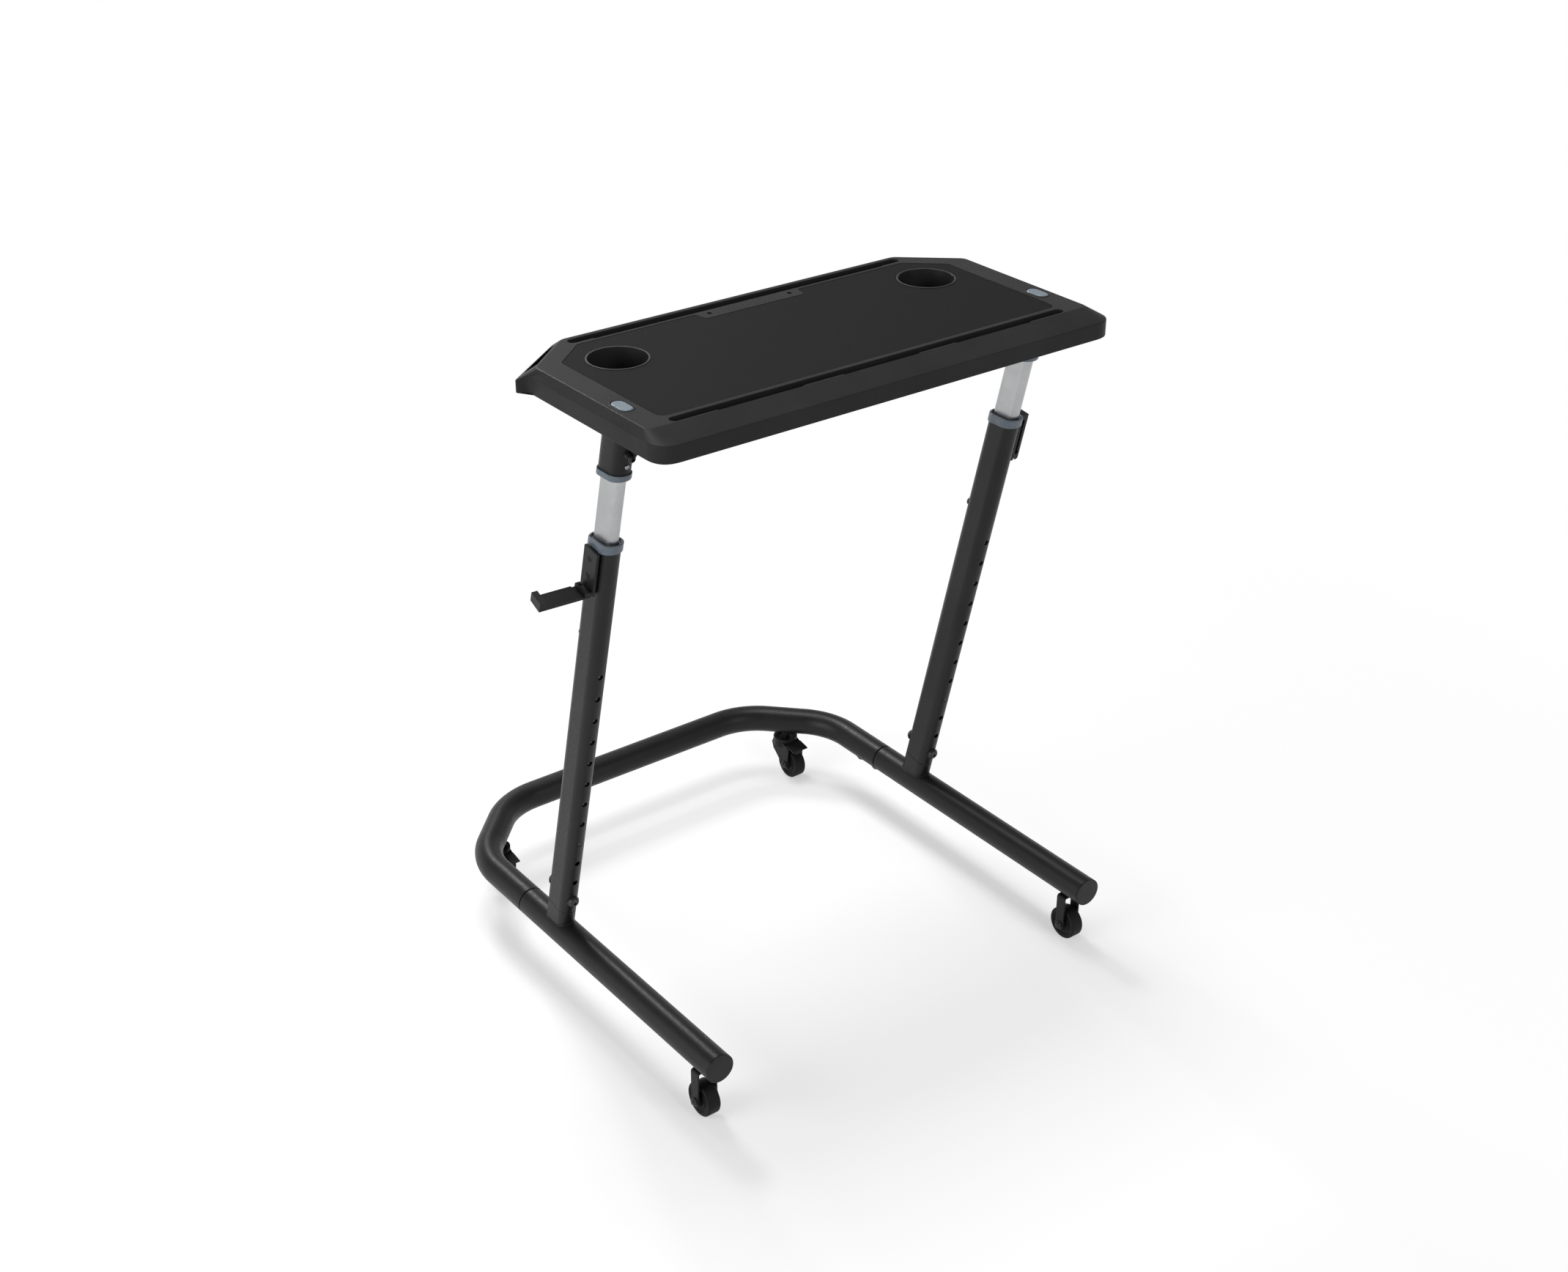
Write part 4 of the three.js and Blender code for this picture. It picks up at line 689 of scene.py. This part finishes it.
def make_front_fork(side):
    """A bent strip: two legs with round ends, joined by a bridge under the rail."""
    top, half, reach, plate, bend = 79.6, 16.5, 8.5, 2.5, 4.2
    place = shifted(CENTRE_X + SIGN[side] * RAIL_X * MM, FRONT_AXLE_Y, 0) @ SCALE
    stops = []
    for step in range(13):
        angle = math.radians(86 * (1 - step / 12))
        height = AXLE_HEIGHT - reach * math.sin(angle)
        stops.append((half, half - plate, height, height, reach * math.cos(angle)))
    for step in range(9):
        angle = math.radians(90 * step / 8)
        outer, inner = bend, bend - plate
        stops.append((half - bend + outer * math.cos(angle), half - bend + inner * math.cos(angle),
                      top - bend + outer * math.sin(angle), top - bend + inner * math.sin(angle), reach))
    path = [(sign * outer, sign * inner, high, low, wide)
            for sign, row in ((-1, stops), (1, stops[::-1])) for outer, inner, high, low, wide in row]
    form = Form()
    form.loft([[(outer, -wide, high), (outer, wide, high), (inner, wide, low), (inner, -wide, low)]
               for outer, inner, high, low, wide in path], place)
    form.lathe([(0, top - 1), (4, top - 1), (4, top + 8), (0, top + 8)], 24, place)
    finished(form.object(f"front_fork_strip_{side}"), "base", BLACK, f"front_fork_{side}", edge=0.5)


def axle_frame(side, x, y):
    return shifted(CENTRE_X + SIGN[side] * x, y, AXLE_HEIGHT * MM) @ SCALE


def make_wheels(side):
    front = axle_frame(side, RAIL_X * MM, FRONT_AXLE_Y)
    rear = axle_frame(side, CASTER_X, CASTER_Y)
    for end, place in (("front", front), ("caster", rear)):
        wheel = f"{end}_wheel_{side}"
        finished(wheel_form(place).object(f"{end}_tyre_{side}"), wheel, TYRE, wheel)
    for end, place, carrier in (("front", front, "base"), ("caster", rear, f"caster_{side}")):
        axle = f"{end}_axle_{side}"
        finished(axle_form(place).object(f"{end}_axle_pin_{side}"), carrier, BOLT, axle)


# Fasteners

def bolt_head(form, place, head, height, washer=0.0, washer_height=0.0, start=0.0):
    """A domed head, with a washer under it, along the frame's Z axis."""
    profile = [(0, start - 1.0)]
    if washer:
        profile += [(washer, start - 1.0), (washer, start + washer_height)]
    base = start + washer_height
    crown = base + height
    profile += [(head, base), (head, base + height * 0.45), (head * 0.72, crown), (0, crown)]
    form.lathe(rounded(profile, 0.9), 36, place)


def make_leg_bolt(side):
    """The bolt through the leg's foot, with a washer at each end and a socket in the front head."""
    place = leg_frame(side) @ shifted(0, 0, LEG_BOLT_STATION)
    front = place @ turned(90, "X")
    form = Form()
    for facing in (front, place @ turned(-90, "X")):
        bolt_head(form, facing, 8.4, 4.6, 9.4, 1.4, 25.8)
    form.lathe([(0, -25), (4.2, -25), (4.2, 25), (0, 25)], 20, front)
    bolt = form.object(f"leg_bolt_heads_{side}")
    socket = Form()
    socket.prism(circle(3.1, 6), 29.4, 40.0, front)
    finished(carved(bolt, socket.object("cutter")), "base", BOLT, f"leg_bolt_{side}")


def make_rail_bolts(side):
    """The domed bolts with washers that hold the loop on the rail's spigot, from below."""
    for end, y in RAIL_BOLT_PLACES:
        form = Form()
        place = rail_frame(side) @ shifted(0, y, 0) @ turned(180, "X")
        bolt_head(form, place, 7.4, 4.6, 9.0, 2.4, RAIL_RADIUS - 0.6)
        form.lathe([(0, 14.0), (3.6, 14.0), (3.6, RAIL_RADIUS), (0, RAIL_RADIUS)], 20, place)
        finished(form.object(f"rail_bolt_head_{end}_{side}"), "base", BOLT, f"rail_bolt_{end}_{side}")


def make_hook_screws(side):
    """Two pan heads with cross recesses, sunk into the hook's plate."""
    sign = SIGN[side]
    for index, station in enumerate(HOOK_SCREW_STATIONS):
        place = leg_frame(side) @ shifted(sign * 21.3, 0, station) @ turned(90 * sign, "Y")
        form = Form()
        form.lathe(rounded([(0, -0.2), (4.2, -0.2), (4.2, 0.5), (2.4, 1.05), (0, 1.15)], 0.5), 32, place)
        head = form.object(f"hook_screw_{index}_{side}")
        for half_x, half_y in ((2.3, 0.45), (0.45, 2.3)):
            cross = Form()
            cross.block((-half_x, -half_y, 0.3), (half_x, half_y, 3), place)
            head = carved(head, cross.object("cutter"))
        finished(head, "base", BLACK)


# Collars

def level_rings(rings):
    """Oval rings (half width, half depth, station) in a leg's frame, each tilted to lie level."""
    slope = math.tan(LEAN)
    return [[(x, y, station - y * slope) for x, y in oval(half_width, half_depth, 24)]
            for half_width, half_depth, station in rings]


def softened_ring(half_width, half_depth, low, high, edge=1.1, steps=4):
    """The outer face of a collar, with a round top and bottom edge."""
    rings = []
    for centre, start in ((low + edge, -90), (high - edge, 0)):
        for step in range(steps + 1):
            angle = math.radians(start + 90 * step / steps)
            inset = edge * (1 - math.cos(angle))
            rings.append((half_width - inset, half_depth - inset, centre + edge * math.sin(angle)))
    return rings


def make_lower_collar(side):
    """The ring on the outer leg, with its guide sleeve inside and a dent on each side."""
    low, high, sleeve_low = 723.3, 737.3, 660.0
    rings = [(14.8, 25.7, low)] + softened_ring(17.4, 27.6, low, high)
    rings += [
        (14.6, 24.8, high), (14.2, 24.4, high - 0.4), (14.2, 24.4, high - 2.2), (9.2, 22.7, high - 2.2),
        (8.8, 22.3, high - 2.8), (8.8, 22.3, sleeve_low), (12.3, 23.2, sleeve_low),
        (12.3, 23.2, LEG_TOP + 0.4), (14.8, 25.7, LEG_TOP + 0.4),
    ]
    form = Form()
    form.loft(level_rings(rings), leg_frame(side), closed=True)
    collar = form.object(f"lower_collar_ring_{side}")
    dents = Form()
    for turn in (90, -90):
        place = leg_frame(side) @ shifted(0, 0, low + 2.0) @ turned(turn, "Y")
        dents.lathe([(0, 16.4), (4.0, 16.45), (7.0, 16.7), (9.4, 17.4), (9.4, 22), (0, 22)], 40, place)
    finished(carved(collar, dents.object("cutter")), "base", COLLAR, f"lower_collar_{side}")


def make_upper_collar(side):
    """The ring under the top's socket, and the socket's small screw above it."""
    low, high, sleeve_high = 838.9, 848.3, 874.0
    rings = [(8.8, 22.3, low), (8.9, 22.4, low)] + softened_ring(16.9, 27.0, low, high)
    rings += [(14.2, 25.1, high), (12.3, 23.2, high), (12.3, 23.2, sleeve_high), (8.8, 22.3, sleeve_high)]
    form = Form()
    form.loft(level_rings(rings), leg_frame(side), closed=True)
    finished(form.object(f"upper_collar_ring_{side}"), "desk", COLLAR, f"upper_collar_{side}")
    screw = Form()
    place = leg_frame(side) @ shifted(0, 0, 867.4) @ turned(90, "X")
    bolt_head(screw, place, 3.4, 1.5, start=25.4)
    finished(screw.object(f"socket_screw_{side}"), "desk", STEEL)


# Tabletop

TABLE_HALF, TABLE_FRONT, TABLE_REAR, TABLE_BOTTOM = 377.5, 124.8, 254.0, -32.7
CHAMFER_Y, REAR_CORNER_X = 174.4, 292.0
EAR = (393.0, 186.0)
TOP_HALF, TOP_FRONT, TOP_REAR = 366.3, 82.0, 243.5
TOP_CHAMFER = (285.5, 175.6)
MAT_HALF, MAT_FRONT, MAT_REAR = 330.6, 57.4, 213.8
MAT_CHAMFER = (278.7, 169.7)


def bent(half_corners, steps=10):
    """A closed outline from one half's corners (x, y, reach, drop), mirrored, each corner rounded."""
    corners = list(half_corners) + [(-x, *rest) for x, *rest in reversed(half_corners)]
    points = []
    for index, (x, y, reach, drop) in enumerate(corners):
        middle = Vector((x, y, -drop))
        ends = []
        for other in (corners[index - 1], corners[(index + 1) % len(corners)]):
            ends.append(middle + (Vector((other[0], other[1], -other[3])) - middle).normalized() * reach)
        for step in range(steps + 1):
            share = step / steps
            points.append(curve_point(ends[0], middle, ends[1], share))
    return points


def grown(points, amount):
    """Moves a closed outline outwards, in plan."""
    result = []
    turn = sum(a.x * b.y - b.x * a.y for a, b in zip(points, points[1:] + points[:1]))
    for index, point in enumerate(points):
        normals = []
        for first, second in ((points[index - 1], point), (point, points[(index + 1) % len(points)])):
            along = Vector((second.x - first.x, second.y - first.y))
            if along.length > 1e-6:
                normals.append(Vector((along.y, -along.x)).normalized() * math.copysign(1, turn))
        between = sum(normals, Vector((0, 0))).normalized()
        reach = amount / max(0.6, between.dot(normals[0]))
        result.append(point + Vector((between.x * reach, between.y * reach, 0)))
    return result


def round_over(first, corner, last, reach, steps=5):
    """Rings that round the edge where two faces of a loft meet, point by point."""
    rings = [[] for _ in range(steps + 1)]
    for before, middle, after in zip(first, corner, last):
        back, ahead = before - middle, after - middle
        start, end = middle + back.normalized() * reach, middle + ahead.normalized() * reach
        for step in range(steps + 1):
            share = step / steps
            rings[step].append(curve_point(start, middle, end, share))
    return rings


def sunk(points, floor, lip=0.8, top=0.0, over=4.0, steps=4):
    """Sections of a cutter that leaves a rounded lip round the opening."""
    sections = [[Vector((p.x, p.y, floor)) for p in points]]
    for step in range(steps + 1):
        angle = math.radians(90 * step / steps)
        spread = grown(points, lip * (1 - math.cos(angle)))
        height = top - lip + lip * math.sin(angle)
        sections.append([Vector((p.x, p.y, height)) for p in spread])
    sections.append([Vector((p.x, p.y, top + over)) for p in grown(points, lip)])
    return sections


def flat(points, x_shift, y_shift=0.0):
    return [Vector((x + x_shift, y + y_shift, 0)) for x, y in points]


def groove_outline(sign):
    """The open groove along a rear corner's bevel."""
    inner = Vector((TOP_HALF, TOP_CHAMFER[1])), Vector((TOP_CHAMFER[0], TOP_REAR))
    outer = Vector(EAR), Vector((REAR_CORNER_X, TABLE_REAR))
    along = (inner[1] - inner[0]).normalized()
    outwards = Vector((along.y, -along.x))
    if outwards.x < 0:
        outwards = -outwards
    ends = [inner[0].lerp(inner[1], 0.14) + outwards * 2.5, outer[0].lerp(outer[1], 0.14) - outwards * 4,
            outer[0].lerp(outer[1], 0.84) - outwards * 4, inner[0].lerp(inner[1], 0.84) + outwards * 2.5]
    points = []
    for index, corner in enumerate(ends):
        start, end = (corner + (other - corner).normalized() * 1.5
                      for other in (ends[index - 1], ends[(index + 1) % 4]))
        points += [curve_point(start, corner, end, step / 4) for step in range(5)]
    return [Vector((sign * p.x, p.y, 0)) for p in points]


def cup_frame(sign):
    return TABLE_FRAME @ shifted(sign * CUP_X, CUP_Y, 0)


def mat_outline(inset):
    return bent([
        (MAT_HALF - inset, inset - MAT_FRONT, 16, 0), (MAT_HALF - inset, MAT_CHAMFER[1], 5, 0),
        (MAT_CHAMFER[0], MAT_REAR - inset, 5, 0), (88.4 + inset, MAT_REAR - inset, 5, 0),
        (84.6 + inset, 192.3 - inset, 5, 0)])


def slot_path(half_length, centre, half_width, spans, step=2.0, ramp=1.6):
    """A round-ended slot. Its front side steps out over each span along x."""
    points = []
    reach = half_length - half_width
    for end in (1, -1):
        for index in range(13):
            angle = math.radians(180 * index / 12 - 90 * end)
            points.append(Vector((end * reach + half_width * math.cos(angle),
                                  centre + half_width * math.sin(angle), 0)))
    for low, high in spans:
        for x, out in ((low, 0), (low + ramp, step), (high - ramp, step), (high, 0)):
            points.append(Vector((x, centre - half_width - out, 0)))
    return points


def front_slot():
    return slot_path(327.5, -72.7, 6.9, ((-262, -126.5), (-64, 64), (126.5, 262)))


def rear_slot():
    return slot_path(283.5, 228.6, 6.9, ((-248.5, 248.5),))


def make_tabletop():
    """The moulded top: a lofted shell with a hollow below, and everything that is cut into it."""
    top = bent([(TOP_HALF, -TOP_FRONT, 12, 0), (TOP_HALF, TOP_CHAMFER[1] - 24, 7, 0),
                (TOP_HALF, TOP_CHAMFER[1], 7, 0), (TOP_CHAMFER[0], TOP_REAR, 7, 0)])

    def edge(fall):
        return bent([(TABLE_HALF, -TABLE_FRONT, 31, 0), (TABLE_HALF, CHAMFER_Y, 7, 0),
                     (*EAR, 5, fall), (REAR_CORNER_X, TABLE_REAR, 7, 0)])

    bevel = [point - Vector((0, 0, 8.8)) for point in edge(6.7)]
    bottom = [point + Vector((0, 0, TABLE_BOTTOM)) for point in edge(0)]
    rim = bent([(TABLE_HALF - 9, 9 - TABLE_FRONT, 22, 0), (TABLE_HALF - 9, CHAMFER_Y - 30, 7, 0),
                (TABLE_HALF - 9, CHAMFER_Y - 9, 7, 0), (REAR_CORNER_X - 9, TABLE_REAR - 9, 7, 0)])
    ceiling, rim_low = (
        [point + Vector((0, 0, height)) for point in rim] for height in (-25.0, TABLE_BOTTOM))
    rings = [ceiling, rim_low]
    rings += round_over(rim_low, bottom, bevel, 1.1, 4)
    rings += round_over(bottom, bevel, top, 1.3)
    rings += round_over(bevel, top, grown(top, -4.0), 1.7)
    rings.append(grown(top, -4.0))
    form = Form()
    form.loft(rings, TABLE_FRAME)
    shell = form.object("tabletop_shell")

    openings = Form()
    openings.loft(sunk(mat_outline(-0.35), -2.0, 0.5), TABLE_FRAME)
    openings.loft(sunk(front_slot(), -13.0, 0.9), TABLE_FRAME)
    openings.loft(sunk(rear_slot(), -13.0, 0.9), TABLE_FRAME)
    for sign in (-1, 1):
        openings.loft(sunk(groove_outline(sign), -19.0, 0.2, -1.0, 8.0), TABLE_FRAME)
        openings.loft(sunk(flat(oval(10.0, 18.8), sign * RAIL_X), -12.3, 0.3), TABLE_FRAME)
    shell = carved(shell, openings.object("cutter"))

    holes = Form()
    for sign in (-1, 1):
        holes.prism(circle(42.0, 96), -30.0, 4.0, cup_frame(sign))
        holes.prism(oval(7.5, 11.0), -30.0, -8.0, TABLE_FRAME @ shifted(sign * RAIL_X, 0, 0))
        holes.loft(sunk(flat(circle(3.6, 28), sign * 68.8, 207.8), -6.0, 0.5), TABLE_FRAME)
    shell = carved(shell, holes.object("cutter"))
    finished(shell, "desk", TOP, "tabletop")


def make_mat():
    outline = mat_outline(0.3)
    low, high = -1.7, -0.3
    under = [Vector((p.x, p.y, low)) for p in outline]
    over = [Vector((p.x, p.y, high)) for p in outline]
    inner = [Vector((p.x, p.y, high)) for p in grown(outline, -2.0)]
    form = Form()
    form.loft([under] + round_over(under, over, inner, 0.45, 4), TABLE_FRAME)
    sheet = form.object("mat_sheet")
    holes = Form()
    for sign in (-1, 1):
        holes.prism(circle(43.3, 96), -4.0, 4.0, cup_frame(sign))
    finished(carved(sheet, holes.object("cutter")), "desk", MAT, "mat")


def make_cup(side):
    profile = rounded([
        (0, -75), (38.7, -75), (41.7, -1.7), (42.9, -1.7), (42.9, 0.6), (40.3, 0.6),
        (37.3, -72.6), (0, -72.6),
    ], 0.55)
    form = Form()
    form.lathe(profile, 96, cup_frame(SIGN[side]))
    finished(form.object(f"cup_liner_{side}"), "desk", CUP, f"cup_holder_{side}")


def make_bezel(side):
    """The soft raised lip round a button."""
    place = TABLE_FRAME @ shifted(SIGN[side] * RAIL_X, 0, 0)
    section = [
        (10.3, -0.4), (10.35, 0.1), (10.7, 0.5), (11.3, 0.62), (11.9, 0.45), (12.5, 0.05), (12.6, -0.4),
    ]
    rings = []
    for half_width, height in section:
        rings.append([(x, y, height) for x, y in oval(half_width, half_width + 8.8, 24)])
    form = Form()
    form.loft(rings, place, closed=True)
    finished(form.object(f"button_bezel_{side}"), "desk", TOP)


def make_pieces():
    make_rear_loop()
    make_tabletop()
    make_mat()
    for side in SIDES:
        make_side_rail(side)
        make_end_cap(side)
        make_outer_leg(side)
        make_inner_leg(side)
        make_lower_collar(side)
        make_upper_collar(side)
        make_lock_pin(side)
        make_front_fork(side)
        make_wheels(side)
        make_rail_bolts(side)
        make_leg_bolt(side)
        make_hook_screws(side)
        make_cup(side)
        make_bezel(side)


# Floor, light and view

FLOOR_DISTANCES, FLOOR_WHITE = (0.5, 1.9), (0.45, 1.0)
SKY_HEIGHTS, SKY_STRENGTHS = (0.05, 0.75), (0.42, 0.2)
WALL_HEIGHTS, WALL_STRENGTHS = (0.18, 0.4), (1.0, 0.0)


def combined(tree, operation, first, second):
    node = tree.nodes.new("ShaderNodeMath")
    node.operation = operation
    tree.links.new(first, node.inputs[0])
    tree.links.new(second, node.inputs[1])
    return node.outputs[0]


def looking_ray(tree):
    """1 for the rays that see the floor and the wall, directly, in a reflection or through glass."""
    rays = tree.nodes.new("ShaderNodeLightPath").outputs
    value = rays["Is Camera Ray"]
    for other in ("Is Glossy Ray", "Is Transmission Ray"):
        value = combined(tree, "MAXIMUM", value, rays[other])
    return value


def make_floor():
    """A pale floor that holds the shadow near the desk and turns plain white further away."""
    bpy.ops.mesh.primitive_plane_add(size=60, location=(0, 0, 0))
    floor = bpy.context.object
    floor.name = "floor"
    shade = Shade("floor", roughness=0.9, specular=0.0)
    drift = shade.noise(0.6, detail=2.0)
    shade.colour(shade.blend(drift, (0.93, 0.93, 0.93), (0.95, 0.95, 0.95)))
    white = shade.node("ShaderNodeEmission")
    away = shade.node("ShaderNodeVectorMath", operation="LENGTH")
    shade.link(shade.coordinates, away.inputs[0])
    share = shade.ramp(away.outputs["Value"], *FLOOR_WHITE, *FLOOR_DISTANCES)
    mix = shade.node("ShaderNodeMixShader")
    shade.link(combined(shade.tree, "MULTIPLY", share, looking_ray(shade.tree)), mix.inputs["Fac"])
    shade.link(shade.shader.outputs[0], mix.inputs[1])
    shade.link(white.outputs[0], mix.inputs[2])
    shade.link(mix.outputs[0], shade.tree.nodes["Material Output"].inputs["Surface"])
    floor.data.materials.append(shade.material)


def fade(tree, height, heights, strengths):
    """Goes smoothly from the first strength to the second as the direction rises."""
    step = tree.nodes.new("ShaderNodeMapRange")
    step.interpolation_type = "SMOOTHSTEP"
    step.inputs["From Min"].default_value, step.inputs["From Max"].default_value = heights
    step.inputs["To Min"].default_value, step.inputs["To Max"].default_value = strengths
    tree.links.new(height, step.inputs["Value"])
    return step.outputs["Result"]


def make_world():
    """Soft light from all round, darker overhead, in front of a white wall that gives no light."""
    world = bpy.data.worlds.new("world")
    bpy.context.scene.world = world
    world.use_nodes = True
    tree = world.node_tree
    background = tree.nodes["Background"]
    direction = tree.nodes.new("ShaderNodeTexCoord")
    parts = tree.nodes.new("ShaderNodeSeparateXYZ")
    tree.links.new(direction.outputs["Generated"], parts.inputs[0])
    height = parts.outputs["Z"]
    sky = fade(tree, height, SKY_HEIGHTS, SKY_STRENGTHS)
    wall = combined(tree, "MULTIPLY", fade(tree, height, WALL_HEIGHTS, WALL_STRENGTHS), looking_ray(tree))
    tree.links.new(combined(tree, "MAXIMUM", sky, wall), background.inputs["Strength"])
    background.inputs["Color"].default_value = (1, 1, 1, 1)


def area_light(name, place, target, size, power):
    data = bpy.data.lights.new(name, "AREA")
    data.shape = "RECTANGLE"
    data.size, data.size_y = size
    data.energy = power
    light = bpy.data.objects.new(name, data)
    light.location = place
    light.rotation_mode = "QUATERNION"
    light.rotation_quaternion = (Vector(target) - Vector(place)).to_track_quat("-Z", "Y")
    bpy.context.scene.collection.objects.link(light)


# Name, place, aim, size and watts
LAMPS = (
    ("key", (-3.6, 0.4, 1.6), (0, 0, 0.6), (2.4, 2.4), 77),
    ("front", (0.5, -3.6, 2.6), (0, 0, 0.5), (2.2, 1.6), 38),
    ("overhead", (0.3, 1.8, 7.3), (0, 0, 0.4), (2.2, 2.2), 214),
    ("rear", (0.4, 3.1, 3.3), (0, 0, 0.3), (0.9, 0.9), 80),
)


bpy.context.scene.view_settings.view_transform = "Standard"
make_camera()
make_floor()
make_world()
for lamp in LAMPS:
    area_light(*lamp)
make_pieces()
dress_cad_nodes()
